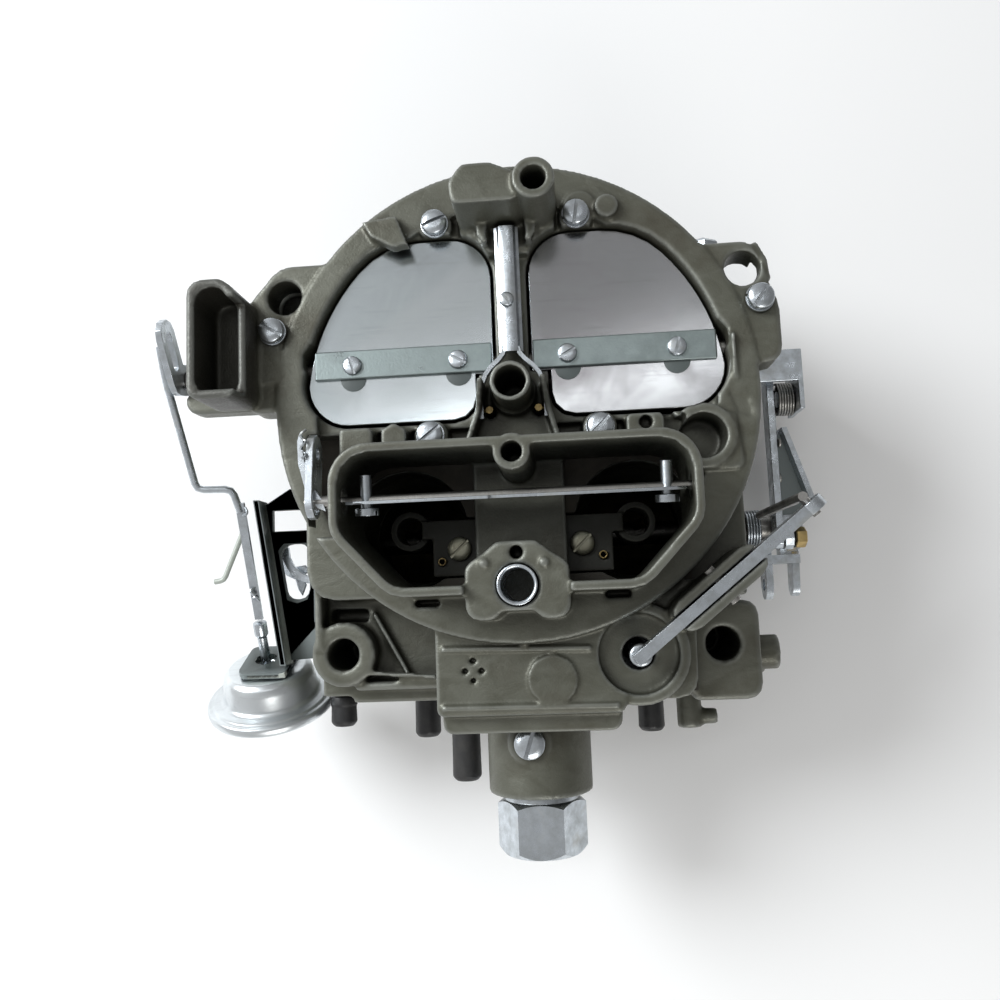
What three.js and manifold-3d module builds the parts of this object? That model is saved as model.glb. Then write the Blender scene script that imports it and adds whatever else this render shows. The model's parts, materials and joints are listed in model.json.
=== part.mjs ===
// Four-barrel spread-bore carburetor, built as separate pieces around one frame.
// Millimetres. +Z is up the air horn, +Y is the rear (secondary bores) and +X is the throttle-lever side.
// The origin is the centre of the base flange's bottom face, midway between the four mounting bolts.
import * as THREE from 'three';
import { mergeVertices } from 'three/addons/utils/BufferGeometryUtils.js';
import Module from 'manifold-3d';

const wasm = await Module();
wasm.setup();

// ---------------------------------------------------------------- driving dimensions
const GAP = 0.3;
const BASE = { top: 30, frontBolt: [53, -51.5], rearBolt: [62.5, 48], bolt: 4.4, ear: 9.5 };
const BOWL = { bottom: 31.5, top: 71, rearHalf: 63, frontHalf: 61, rearY: 66.5, frontY: -64 };
const HORN = { bottom: 72.5, deck: 80, ring: 83.5, rim: 103, leverBoss: 90.5 };
const RING = { y: 16, outer: 65.1, inner: 54 };
const PRIMARY = { x: 31.5, y: -17.5, bore: 17.45, throat: 14.3, shaft: 4, z: 18 };
const SECONDARY = { x: 31.5, y: 35.5, bore: 28.6, shaft: 4, z: 18 };
const AIR_VALVE = { y: 28, z: 76, shaft: 2.4, inner: 4.5, front: 10.8, radius: 58, pocketFloor: 46 };
const CHOKE = { y: -11, z: 94.5, shaft: 3, lean: 96.6 };
const CHOKE_HORN = { half: 46, rear: 2.5, front: -36, diagonal: 31, side: -20, wall: 2.3 };
const INLET = { x: 1.5, z: 50, outer: 15, bore: 10.8, mouth: -93, nut: 22.2 };
const PUMP = { x: 30, y: -53, well: 7.9, guide: 4.3, stem: 2, top: 84.4 };
const PUMP_LEVER = { pivot: [51, -36, 87.5], angle: 38.7, inner: 29, outer: 30 };
const CENTRE_VENT = { y: 17.6, outer: 6, inner: 4, top: 97 };
const FRONT_TUBE = { y: -34, outer: 5, inner: 4.1, top: 100 };
const REAR_TUBE = { x: 8.3, y: 67.6, outer: 5.4, inner: 3.2, top: 104 };
const HANGER = { y: 60, z: 87, droop: 6, reach: 47, rodX: 6.6, rodY: 13.1, arm: [8, 9.4] };
const FLOAT = { hingeY: -44, hingeZ: 64, needleY: -52 };
const POWER_PISTON = { y: 4, radius: 2.6 };
const LINKAGE = { link: [78, 80.4], pin: [-4, 9], pinRadius: 1.8 };
const VACUUM_CAN = { centre: [-82, -61, 41], tilt: -64, flange: 19.8 };
const SIDE_WELL = [49.3, 3];
const HORN_SCREW = { shank: 1.4, hole: 1.7 };
const HORN_SCREWS = [[-19.7, 65.5], [18.9, 65.5], [66.2, 39], [-65.5, 38], [-22.6, 6.9], [22.6, 6.9]];

// ---------------------------------------------------------------- finishes
const finish = (color, roughness, metalness) => () => new THREE.MeshStandardMaterial({ color, roughness, metalness });
const casting = finish(0x6c695e, 0.55, 0.6);
const zinc = finish(0xc3ccd0, 0.3, 0.9);
const steel = finish(0x9aa0a2, 0.35, 0.9);
const brass = finish(0xb8964a, 0.35, 0.9);
const rubber = finish(0x151617, 0.7, 0);
const phosphate = finish(0x1e2422, 0.5, 0.4);
const gasketPaper = finish(0x3a3a36, 0.9, 0);
const plastic = finish(0x1a1a1b, 0.5, 0);

// ---------------------------------------------------------------- solids
function solid(geometry) {
  const bare = geometry.clone();
  for (const name of Object.keys(bare.attributes)) {
    if (name !== 'position') bare.deleteAttribute(name);
  }
  const merged = mergeVertices(bare, 1e-4);
  const index = merged.index.array;
  const triangles = [];
  for (let i = 0; i < index.length; i += 3) {
    const [a, b, c] = [index[i], index[i + 1], index[i + 2]];
    if (a !== b && b !== c && c !== a) triangles.push(a, b, c);
  }
  return new wasm.Manifold(new wasm.Mesh({
    numProp: 3,
    vertProperties: new Float32Array(merged.attributes.position.array),
    triVerts: new Uint32Array(triangles),
  }));
}

const join = (first, ...others) => others.reduce((whole, piece) => whole.add(piece), first);
const cut = (first, ...tools) => tools.reduce((whole, tool) => whole.subtract(tool), first);

function box([x0, x1], [y0, y1], [z0, z1]) {
  const geometry = new THREE.BoxGeometry(x1 - x0, y1 - y0, z1 - z0);
  return solid(geometry.translate((x0 + x1) / 2, (y0 + y1) / 2, (z0 + z1) / 2));
}

// A cylinder along one axis between two stations. The place gives the other two coordinates in XYZ order.
function cylinder(axis, radius, [from, to], [u, v], sides = 16, endRadius = radius) {
  const geometry = new THREE.CylinderGeometry(endRadius, radius, to - from, sides);
  const middle = (from + to) / 2;
  if (axis === 'x') geometry.rotateZ(-Math.PI / 2).translate(middle, u, v);
  if (axis === 'y') geometry.translate(u, middle, v);
  if (axis === 'z') geometry.rotateX(Math.PI / 2).translate(u, v, middle);
  return solid(geometry);
}

const tube = (axis, outer, inner, [from, to], place, sides = 24) => cut(
  cylinder(axis, outer, [from, to], place, sides),
  cylinder(axis, inner, [from - 1, to + 1], place, sides),
);

// The radius of a faceted hole whose flats clear a shaft of the given radius all the way round.
const runningHole = (shaft, sides = 16, clearance = 0.09) => (shaft + clearance) / Math.cos(Math.PI / sides);

// A body of revolution about one axis through a place. The profile is a list of [radius, height], from the bottom up.
function turned(profile, sides = 24, axis = 'z', [x, y, z] = [0, 0, 0]) {
  const points = profile.map(([radius, height]) => new THREE.Vector2(radius, height));
  const geometry = new THREE.LatheGeometry(points, sides).rotateX(Math.PI / 2);
  if (axis === 'x') geometry.rotateY(Math.PI / 2);
  if (axis === 'y') geometry.rotateX(-Math.PI / 2);
  return solid(geometry.translate(x, y, z));
}

// A closed outline from corners [x, y, radius]. Each rounded corner is a true arc, in finer steps where it is large.
function roundedOutline(corners) {
  const points = [];
  corners.forEach(([x, y, radius = 0], i) => {
    const corner = new THREE.Vector2(x, y);
    if (radius === 0) {
      points.push(corner);
      return;
    }
    const before = corners.at(i - 1);
    const after = corners[(i + 1) % corners.length];
    const toBefore = new THREE.Vector2(before[0] - x, before[1] - y).normalize();
    const toAfter = new THREE.Vector2(after[0] - x, after[1] - y).normalize();
    const half = Math.acos(THREE.MathUtils.clamp(toBefore.dot(toAfter), -1, 1)) / 2;
    const start = toBefore.clone().multiplyScalar(radius / Math.tan(half)).add(corner);
    const centre = toBefore.clone().add(toAfter).normalize().multiplyScalar(radius / Math.sin(half)).add(corner);
    const sweep = -Math.sign(toBefore.cross(toAfter)) * (Math.PI - 2 * half);
    const arcStep = radius > 9 ? Math.PI / 14 : Math.PI / 6;
    const steps = Math.max(1, Math.ceil(Math.abs(sweep) / arcStep));
    for (let k = 0; k <= steps; k += 1) {
      points.push(start.clone().rotateAround(centre, (sweep * k) / steps));
    }
  });
  return new THREE.Shape(points);
}

function slab(shape, [z0, z1]) {
  const geometry = new THREE.ExtrudeGeometry(shape, { depth: z1 - z0, bevelEnabled: false });
  return solid(geometry.translate(0, 0, z0));
}

// A slab that stands across X: the outline's first coordinate is Y and its second is Z.
function slabAcrossX(shape, [x0, x1]) {
  const geometry = new THREE.ExtrudeGeometry(shape, { depth: x1 - x0, bevelEnabled: false });
  const turn = new THREE.Matrix4().makeBasis(
    new THREE.Vector3(0, 1, 0),
    new THREE.Vector3(0, 0, 1),
    new THREE.Vector3(1, 0, 0),
  );
  return solid(geometry.applyMatrix4(turn).translate(x0, 0, 0));
}

// The outline around two circles of one radius: an ear, a link or a slot.
function capsule([x0, y0], [x1, y1], radius, steps = 5) {
  const heading = Math.atan2(y1 - y0, x1 - x0);
  const points = [];
  for (const [x, y, turn] of [[x1, y1, -Math.PI / 2], [x0, y0, Math.PI / 2]]) {
    for (let k = 0; k <= steps; k += 1) {
      const angle = heading + turn + (Math.PI * k) / steps;
      points.push(new THREE.Vector2(x + radius * Math.cos(angle), y + radius * Math.sin(angle)));
    }
  }
  return new THREE.Shape(points);
}

const mirrored = (corners) => corners.map(([x, y, radius = 0]) => [-x, y, radius]);

// A round bar that follows a smooth curve through the given points.
function bar(points, radius, steps, sides = 6) {
  const curve = new THREE.CatmullRomCurve3(points.map((point) => new THREE.Vector3(...point)), false, 'chordal');
  const section = new THREE.Shape();
  for (let k = 0; k < sides; k += 1) {
    const angle = (2 * Math.PI * k) / sides;
    const place = [radius * Math.cos(angle), radius * Math.sin(angle)];
    if (k === 0) section.moveTo(...place);
    else section.lineTo(...place);
  }
  return solid(new THREE.ExtrudeGeometry(section, { steps, extrudePath: curve }));
}

const hexagon = (acrossFlats) => new THREE.Shape(Array.from({ length: 6 }, (_, k) => {
  const angle = (Math.PI / 3) * k;
  const radius = acrossFlats / Math.sqrt(3);
  return new THREE.Vector2(radius * Math.cos(angle), radius * Math.sin(angle));
}));

// ---------------------------------------------------------------- scene graph
const carburetor = new THREE.Group();

function group(position, parent = carburetor) {
  const holder = new THREE.Group();
  holder.position.set(...position);
  parent.add(holder);
  return holder;
}

function add(name, shape, material, parent = carburetor) {
  const { vertProperties, triVerts } = shape.getMesh();
  const geometry = new THREE.BufferGeometry();
  geometry.setAttribute('position', new THREE.BufferAttribute(new Float32Array(vertProperties), 3));
  geometry.setIndex(new THREE.BufferAttribute(new Uint32Array(triVerts), 1));
  geometry.computeVertexNormals();
  const mesh = new THREE.Mesh(geometry, material());
  mesh.name = name;
  parent.add(mesh);
  return mesh;
}

const SIDES = [['left', -1], ['right', 1]];
const boltHoles = (places, radius, [z0, z1]) => places.map((place) => cylinder('z', radius, [z0, z1], place, 16));
const FLANGE_BOLTS = [BASE.frontBolt, BASE.rearBolt].flatMap(([x, y]) => [[x, y], [-x, y]]);

// ---------------------------------------------------------------- throttle body and its gasket
const rearOutline = (half) => roundedOutline([
  [-half, 3, 10], [half, 3, 10], [half, BOWL.rearY, 28], [-half, BOWL.rearY, 28],
]);
const frontOutline = (half) => roundedOutline([[-half, -39, 14], [half, -39, 14], [half, 14], [-half, 14]]);

function throttleBody() {
  const [frontX, frontY] = BASE.frontBolt;
  const [rearX, rearY] = BASE.rearBolt;
  const ears = [-1, 1].flatMap((side) => [
    slab(capsule([side * frontX, frontY], [side * 40, -28], BASE.ear), [0, BASE.top]),
    slab(capsule([side * rearX, rearY], [side * 50, 44], BASE.ear), [0, 14]),
  ]);
  const whole = join(
    slab(rearOutline(BOWL.rearHalf), [0, BASE.top]),
    slab(frontOutline(52), [0, BASE.top]),
    ...ears,
    box([-46, 46], [-54, -34], [5, 28]),
    cylinder('x', 7.5, [-58, 60], [PRIMARY.y, PRIMARY.z]),
    cylinder('x', 7.5, [-67, 68], [SECONDARY.y, SECONDARY.z]),
    box([50, 71], [-39, -31], [4, 14]),
  );
  const bores = [-1, 1].flatMap((side) => [
    cylinder('z', PRIMARY.bore, [-1, 31], [side * PRIMARY.x, PRIMARY.y], 28),
    cylinder('z', SECONDARY.bore, [-1, 31], [side * SECONDARY.x, SECONDARY.y], 32),
    cylinder('y', 2.5, [-55, -36.5], [side * 37, 15], 12),
  ]);
  return cut(
    whole,
    ...bores,
    cylinder('x', runningHole(PRIMARY.shaft), [-70, 70], [PRIMARY.y, PRIMARY.z]),
    cylinder('x', runningHole(SECONDARY.shaft), [-70, 70], [SECONDARY.y, SECONDARY.z]),
    cylinder('y', 2.4, [-45, -28], [66, 9], 12),
    ...boltHoles(FLANGE_BOLTS, BASE.bolt, [-1, 31]),
  );
}
add('throttle_body', throttleBody(), casting);

function lowerGasket() {
  const whole = join(slab(rearOutline(BOWL.rearHalf), [30.3, 31.2]), slab(frontOutline(52), [30.3, 31.2]));
  const bores = [-1, 1].flatMap((side) => [
    cylinder('z', PRIMARY.bore + 0.5, [30, 32], [side * PRIMARY.x, PRIMARY.y], 20),
    cylinder('z', SECONDARY.bore + 0.5, [30, 32], [side * SECONDARY.x, SECONDARY.y], 24),
  ]);
  return cut(
    whole,
    ...bores,
    ...boltHoles(FLANGE_BOLTS.slice(0, 2), 12, [30, 32]),
    ...boltHoles(FLANGE_BOLTS.slice(2), 5.4, [30, 32]),
  );
}
add('throttle_body_gasket', lowerGasket(), gasketPaper);

// ---------------------------------------------------------------- outlines shared by the bowl and the air horn
function airValveOutline(side, inset) {
  const radius = AIR_VALVE.radius - inset;
  const shoulder = THREE.MathUtils.degToRad(43);
  const arc = Array.from({ length: 10 }, (_, k) => {
    const angle = shoulder - THREE.MathUtils.degToRad(4 * k);
    return [radius * Math.cos(angle), RING.y + radius * Math.sin(angle)];
  });
  const inner = AIR_VALVE.inner + inset;
  const front = AIR_VALVE.front + inset;
  const rear = RING.y + radius * 0.81;
  const tangent = (rear - arc[0][1]) / Math.cos(shoulder);
  const shoulderX = arc[0][0] - tangent * Math.sin(shoulder);
  const shoulderRadius = tangent / Math.tan((Math.PI / 2 - shoulder) / 2) - 0.1;
  const corners = [
    [inner, 24], [inner, rear, 12 - inset], [shoulderX, rear, shoulderRadius], ...arc,
    [radius - 1, front, 12 - inset], [inner + 5, front, 7 - inset], [inner + 5, 24],
  ];
  return roundedOutline(side < 0 ? mirrored(corners) : corners);
}

function hornOutline(inset) {
  const { half, rear, front, diagonal, side } = CHOKE_HORN;
  const corners = [
    [half - inset, side + inset * 0.4, 8 - inset],
    [diagonal - inset * 0.4, front + inset, 8 - inset],
  ];
  return roundedOutline([
    [-half + inset, rear - inset, 10 - inset], [half - inset, rear - inset, 10 - inset],
    ...corners, ...mirrored(corners).reverse(),
  ]);
}

// ---------------------------------------------------------------- float bowl
function venturi(side) {
  const { x, y, bore, throat } = PRIMARY;
  const profile = [[0, BOWL.bottom - 1], [bore, BOWL.bottom - 1], [bore, 36], [throat, 46], [throat + 0.6, 51],
    [16.6, 60], [16.6, 72], [0, 72]];
  return turned(profile, 24, 'z', [side * x, y, 0]);
}

function floatBowl() {
  const { bottom, top, frontHalf } = BOWL;
  const whole = join(
    slab(rearOutline(BOWL.rearHalf), [bottom, top]),
    slab(roundedOutline([
      [-frontHalf, -36, 8], [frontHalf, -36, 8], [frontHalf, 14], [-frontHalf, 14],
    ]), [bottom, top]),
    box([-24, 46], [BOWL.frontY, -30], [bottom, top]),
    box([-61, -24], [BOWL.frontY, -30], [38, 56]),
    box([-61, -59], [-50, -20], [56, 64]),
    box([-50, -24], [-62, -59.6], [56, 61.5]),
    slab(roundedOutline([[44, -66.5, 2], [63, -66.5, 4], [63, -40, 4], [44, -40]]), [36, 70.6]),
    cylinder('z', 9.2, [bottom, 63.5], [-53, -51.5]),
    cylinder('z', 9.2, [bottom, 70.6], BASE.frontBolt),
    cylinder('y', INLET.outer, [INLET.mouth, -60], [INLET.x, INLET.z], 24),
    cylinder('z', 6.2, [50, INLET.z + INLET.outer], [-0.5, -77.4], 16),
    cylinder('x', 4.8, [60, 70], [-55, 57], 14),
    cylinder('y', 3.6, [-77, -60], [46, 44], 12),
    cylinder('x', 2.4, [44, 54], [-74, 44], 10),
    cylinder('y', 2.6, [-80, -60], [-21.5, 38], 10),
    cylinder('y', 2.6, [-70, -60], [-58, 44], 10),
    slab(roundedOutline([[-58, 20], [-73, 20, 6], [-73, 48, 7], [-65, 57, 6], [-48, 57]]), [44, top]),
    slab(roundedOutline([[58, 42], [72, 42, 3], [72, 24, 5], [58, 24]]), [60, top]),
    cylinder('y', 5.2, [51.5, 62], [58.5, 45], 12),
    ...HORN_SCREWS.slice(0, 2).map((place) => cylinder('z', 4.4, [50, top], place, 14)),
    cylinder('x', 1.9, [-66.6, -60], [-14, 38], 12),
  );
  const bores = SIDES.flatMap(([, side]) => [
    venturi(side),
    cylinder('z', SECONDARY.bore, [30, 50], [side * SECONDARY.x, SECONDARY.y], 28),
    slab(airValveOutline(side, 0), [AIR_VALVE.pocketFloor, 72]),
    box(side < 0 ? [-25.4, -11.2] : [11.2, 25.4], [-31, -14.5], [66.2, 72]),
    cylinder('z', 1.6, [36, 72], [side * 6, POWER_PISTON.y], 8),
    cylinder('z', 1.7, [38, 72], [side * HANGER.rodX, HANGER.rodY], 8),
  ]);
  return cut(
    whole,
    ...bores,
    box([-20, 20], [-61, -38], [36, 72]),
    box([-9.5, 9.5], [-40, -2], [36, 72]),
    cylinder('z', PUMP.well, [34, 72], [PUMP.x, PUMP.y], 18),
    cylinder('z', POWER_PISTON.radius + 0.35, [40, 72], [0, POWER_PISTON.y], 16),
    box([-7.6, 7.6], [POWER_PISTON.y - 1.6, POWER_PISTON.y + 1.6], [64.5, 72]),
    cylinder('y', INLET.bore, [INLET.mouth - 1, -67], [INLET.x, INLET.z], 18),
    cylinder('y', 3, [-70, -60], [INLET.x, INLET.z], 12),
    cylinder('z', 2.1, [55, 66], [-0.5, -77.4], 10),
    cylinder('x', 1.2, [50, 55], [-74, 44], 8),
    box([-58, -47], [-42.6, -38.8], [50, 66]),
    ...boltHoles(FLANGE_BOLTS, BASE.bolt + 0.2, [30, 73]),
    ...HORN_SCREWS.map((place) => cylinder('z', HORN_SCREW.hole, [57, 72], place, 10)),
  );
}
add('float_bowl', floatBowl(), casting);

function upperGasket() {
  const whole = join(
    cylinder('z', 62, [71.3, 72.2], [0, RING.y], 36),
    box([-23.5, 45.5], [-63.5, -30], [71.3, 72.2]),
  );
  const windows = SIDES.flatMap(([, side]) => [
    slab(airValveOutline(side, -0.3), [71, 73]),
    cylinder('z', 17, [71, 73], [side * PRIMARY.x, PRIMARY.y], 20),
    cylinder('z', 1.9, [71, 73], [side * HANGER.rodX, HANGER.rodY], 8),
    box(side < 0 ? [-25.6, -11] : [11, 25.6], [-31.2, -14.3], [71, 73]),
  ]);
  return cut(
    whole,
    ...windows,
    cylinder('z', 6, [71, 73], [PUMP.x, PUMP.y], 16),
    ...HORN_SCREWS.map((place) => cylinder('z', HORN_SCREW.hole + 0.1, [71, 73], place, 8)),
  );
}
add('air_horn_gasket', upperGasket(), gasketPaper);

// ---------------------------------------------------------------- the accelerator pump lever's own directions
// It stands on edge across its pivot boss, turned from X by its angle, so the boss has a slot along it.
const leverTurn = THREE.MathUtils.degToRad(PUMP_LEVER.angle);
function alongLever(distance, side = 0) {
  const [x, y] = PUMP_LEVER.pivot;
  const offset = new THREE.Vector2(distance, side).rotateAround(new THREE.Vector2(), leverTurn);
  return [x + offset.x, y + offset.y];
}

function pumpLeverSlot() {
  const corners = [[-16, -1.9], [14, -1.9], [14, 1.9], [-16, 1.9]].map(([along, side]) => alongLever(along, side));
  return slab(roundedOutline(corners), [79.2, 95]);
}

// A round pin or hole square to the lever, at a distance along it and at the pivot's height.
function acrossLever(radius, [from, to], distance, sides = 12) {
  const [x, y] = alongLever(distance);
  const geometry = new THREE.CylinderGeometry(radius, radius, to - from, sides);
  return solid(geometry.translate(0, (from + to) / 2, 0).rotateZ(leverTurn).translate(x, y, PUMP_LEVER.pivot[2]));
}

// ---------------------------------------------------------------- air horn
function sidePocket() {
  const shell = (inset, levels) => slab(roundedOutline([
    [-83 + inset, 16.5 + inset, 3], [-69.8 - inset, 16.5 + inset, 3],
    [-69.8 - inset, 45 - inset, 4], [-74, 48 - inset, 3], [-83 + inset, 48 - inset, 4],
  ]), levels);
  return cut(shell(0, [83.4, 101]), shell(2.2, [86, 102]), box([-80, -66], [18.7, 43], [94, 102]));
}

// The flat pad around the front tube, with a lobe at the rear and two at the front.
function tubePad() {
  const side = [[4, -40.3, 2], [6, -42.4, 2.5], [12.9, -42.4, 3.5], [12.9, -29, 3], [8.5, -26.2, 3], [4.8, -23.2, 3]];
  return roundedOutline([...side, ...mirrored(side).reverse()]);
}

function hornCasting() {
  const { bottom, deck, ring, rim } = HORN;
  return join(
    cylinder('z', RING.outer, [bottom + 3, ring], [0, RING.y], 64),
    cylinder('z', 62, [bottom, bottom + 3.2], [0, RING.y], 36),
    slab(roundedOutline([[-58, 16], [-73.5, 16, 3], [-73.5, 46, 7], [-64, 57, 7], [-48, 57]]), [bottom, ring - 0.5]),
    slab(roundedOutline([[48, 55.5], [64.5, 55.5, 3], [71.5, 38, 8], [71.5, 22, 4], [58, 22]]), [bottom, ring - 0.5]),
    slab(hornOutline(0), [deck - 4, rim]),
    slab(tubePad(), [deck - 4, FRONT_TUBE.top]),
    slab(roundedOutline([[-24, -68, 2], [26, -68, 2], [26, -30], [-24, -30]]), [bottom, 79]),
    slab(roundedOutline([[-23, -73, 3], [25, -73, 3], [25, -60], [-23, -60]]), [bottom, 75.5]),
    slab(roundedOutline([[18, -65], [45, -65, 5], [46, -34], [18, -34]]), [bottom, 76.5]),
    cylinder('z', 13.5, [bottom, 78.5], [PUMP.x, PUMP.y], 22),
    slab(capsule(alongLever(-11), alongLever(9), 4.4), [bottom, HORN.leverBoss]),
    cylinder('z', 6.5, [78, 79.8], [7.1, -59], 20),
    sidePocket(),
    box([-84, -64], [24, 42], [72.6, 83.6]),
    box([-90.5, -82], [23.5, 32.5], [72.6, 79.6]),
    slab(capsule([-89, 21], [-62, 21], 3.6), [72.6, 79]),
    slab(roundedOutline([
      [-13, 63, 2], [5, 63, 3], [5, 70, 4], [-3, 73.5, 3], [-10, 73.5, 3], [-13.5, 69, 2],
    ]), [deck, 102]),
    cylinder('z', REAR_TUBE.outer, [deck, REAR_TUBE.top], [REAR_TUBE.x, REAR_TUBE.y], 20),
    slab(roundedOutline([[-11, 56, 2], [13, 58, 2], [13, 72], [-11, 72]]), [deck, 84.5]),
    ...[[-8, -5], [5, 8]].map((across) => (
      box(across, [HANGER.y - 2.6, HANGER.y + 4], [deck, HANGER.z + 2.6])
    )),
    cylinder('z', CENTRE_VENT.outer, [deck, CENTRE_VENT.top], [0, CENTRE_VENT.y], 20),
    cylinder('z', 4.6, [deck, rim], [0, -1.5], 18),
    cylinder('z', 8.6, [deck, 85.5], SIDE_WELL, 20),
    slab(roundedOutline([[48, 10], [58, 9, 2], [59.5, -6, 2], [48, -6]]), [deck, 84.6]),
    ...deckPosts(76),
    cylinder('z', 3.2, [ring - 1, 86], [27.2, 66.9], 14),
  );
}

// The post and the two blocks that stand in the trough behind the choke horn.
function deckPosts(from) {
  return [
    cylinder('z', 3.9, [from, 86.5], [-32.3, 6.6], 6),
    slab(roundedOutline([[-47.5, 1], [-38, 1], [-38, 9.6, 1.5], [-47.5, 9.6, 1.5]]), [from, 86]),
    slab(roundedOutline([[29.4, 1], [39.2, 1], [39.2, 9.6, 1.5], [29.4, 9.6, 1.5]]), [from, 86]),
  ];
}

function airHorn() {
  const { bottom, deck, ring } = HORN;
  const hornInside = slab(hornOutline(CHOKE_HORN.wall), [bottom - 1, 104]);
  const kept = join(
    box([-12.5, 12.5], [-40, 4], [bottom - 2, 76]),
    slab(tubePad(), [88, 104]),
    slab(roundedOutline([
      [-10, -40], [10, -40], [10, -33, 2], [7.2, -27.5, 4], [-7.2, -27.5, 4], [-10, -33, 2],
    ]), [70, 104]),
    cylinder('z', 4.6, [70, 104], [0, -1.5], 18),
  );
  const recess = cut(
    cylinder('z', RING.inner, [deck, ring + 0.5], [0, RING.y], 48),
    slab(hornOutline(0), [deck - 1, 90]),
    slab(roundedOutline([[-13, 56, 2], [13, 56, 2], [13, 72], [-13, 72]]), [deck - 1, 90]),
    ...HORN_SCREWS.map((place) => cylinder('z', 4.6, [deck - 1, 90], place, 14)),
    ...deckPosts(deck - 1),
    cylinder('z', 8.6, [deck - 1, 90], SIDE_WELL, 20),
    slab(roundedOutline([[48, 10], [58, 9, 2], [59.5, -6, 2], [48, -6]]), [deck - 1, 90]),
    cylinder('z', CENTRE_VENT.outer, [deck - 1, 90], [0, CENTRE_VENT.y], 20),
    slab(roundedOutline([[-12.5, -45], [12.5, -45], [12.5, -33, 3], [-12.5, -33, 3]]), [deck - 1, 90]),
    slab(roundedOutline([[40, -60], [70, -60], [70, -20], [52, -20], [47, -26]]), [deck - 1, 90]),
  );
  const trough = cut(
    box([-45, 45], [3.4, 9.2], [76.5, 90]),
    ...deckPosts(76),
    box([-11, 11], [3, 10], [76, 91]),
    ...HORN_SCREWS.slice(4).map((place) => cylinder('z', 4.6, [76, 91], place, 14)),
  );
  const clusters = [-1, 1].flatMap((side) => [[-14 + side * 2.2, -56], [-14, -56 + side * 2.6]]);
  return cut(
    hornCasting(),
    hornInside.subtract(kept),
    recess,
    ...SIDES.map(([, side]) => slab(airValveOutline(side, 0), [bottom - 1, 90])),
    ...SIDES.map(([, side]) => slab(capsule([side * 50, 29.5], [side * 51.5, 29.5], 6.3), [bottom - 1, 90])),
    ...SIDES.map(([, side]) => cylinder('z', 1.7, [bottom - 1, 90], [side * HANGER.rodX, HANGER.rodY], 8)),
    box([-56.6, -47.2], [-19, 9], [bottom - 1, 90]),
    cylinder('x', runningHole(CHOKE.shaft), [-48, 45], [CHOKE.y, CHOKE.z]),
    cylinder('x', runningHole(AIR_VALVE.shaft), [-91, 61], [AIR_VALVE.y, AIR_VALVE.z]),
    cylinder('x', runningHole(1.6, 12), [-9, 9], [HANGER.y, HANGER.z], 12),
    cylinder('z', CENTRE_VENT.inner, [bottom + 2, 105], [0, CENTRE_VENT.y], 16),
    cylinder('z', FRONT_TUBE.outer + GAP, [84, 105], [0, FRONT_TUBE.y], 20),
    cylinder('z', REAR_TUBE.inner, [deck + 3, 106], [REAR_TUBE.x, REAR_TUBE.y], 16),
    cylinder('z', 2.6, [85, 105], [0, -1.5], 14),
    cylinder('z', 6, [bottom + 2, 90], SIDE_WELL, 20),
    slab(tubePad(), [FRONT_TUBE.top, 105]),
    cylinder('z', 1.7, [92, 105], [0, -26], 12),
    trough,
    cylinder('z', PUMP.guide, [bottom - 1, 80], [PUMP.x, PUMP.y], 20),
    cylinder('z', 10.6, [76.1, 80], [PUMP.x, PUMP.y], 20),
    cylinder('z', 1.6, [84, 95], [-12, 68.5], 10),
    cylinder('z', 1.8, [82, 86], [34.5, 7.2], 10),
    ...clusters.map((place) => cylinder('z', 0.9, [77, 80], place, 8)),
    ...HORN_SCREWS.map((place) => cylinder('z', HORN_SCREW.hole, [bottom - 1, 90], place, 10)),
    ...boltHoles(FLANGE_BOLTS.slice(2), BASE.bolt + 0.4, [bottom - 1, 90]),
    pumpLeverSlot(),
    acrossLever(1.8, [-6, 6], 0),
  );
}

add('air_horn', airHorn(), casting);

// ---------------------------------------------------------------- small fixed pieces
// A slotted screw standing along Z with its head's underside at the given height.
function slottedScrew(place, { under, tip, shank, head, washer = 0, tall = 2.6, turn = 0 }) {
  const washerTop = under + (washer > 0 ? 0.9 : 0);
  const washerEdge = washer > 0 ? [[washer, under], [washer, washerTop]] : [];
  const profile = [[0, tip], [shank, tip], [shank, under], ...washerEdge,
    [head, washerTop], [head, washerTop + tall], [0, washerTop + tall]];
  const slot = new THREE.BoxGeometry(2 * head + 2, 1, 2.4).rotateZ(turn).translate(...place, washerTop + tall);
  return cut(turned(profile, 12, 'z', [...place, 0]), solid(slot));
}

HORN_SCREWS.forEach((place, i) => {
  add(`air_horn_screw_${i + 1}`, slottedScrew(place, {
    under: HORN.ring + GAP, tip: 59, shank: HORN_SCREW.shank, head: 3.5, washer: 3.8, turn: 0.5 + i,
  }), zinc);
});

for (const [label, side] of SIDES) {
  const across = (near, far) => (side < 0 ? [-far, -near] : [near, far]);
  const centre = [side * PRIMARY.x, PRIMARY.y];
  const body = join(
    box(across(11.6, 25), [-30.6, -14.9], [66.5, 70.6]),
    box(across(23, 28), [-20, -15], [61, 70.6]),
    cylinder('z', 5.6, [56, 69], centre, 20),
  );
  add(`booster_${label}`, cut(
    body,
    cylinder('z', 3.9, [55, 70], centre, 20),
    cylinder('z', 1.2, [66, 71], [side * 22.4, -26.5], 8),
  ), casting);
}

add('front_tube', tube('z', FRONT_TUBE.outer, FRONT_TUBE.inner, [84.3, 101], [0, FRONT_TUBE.y], 20), zinc);

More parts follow.
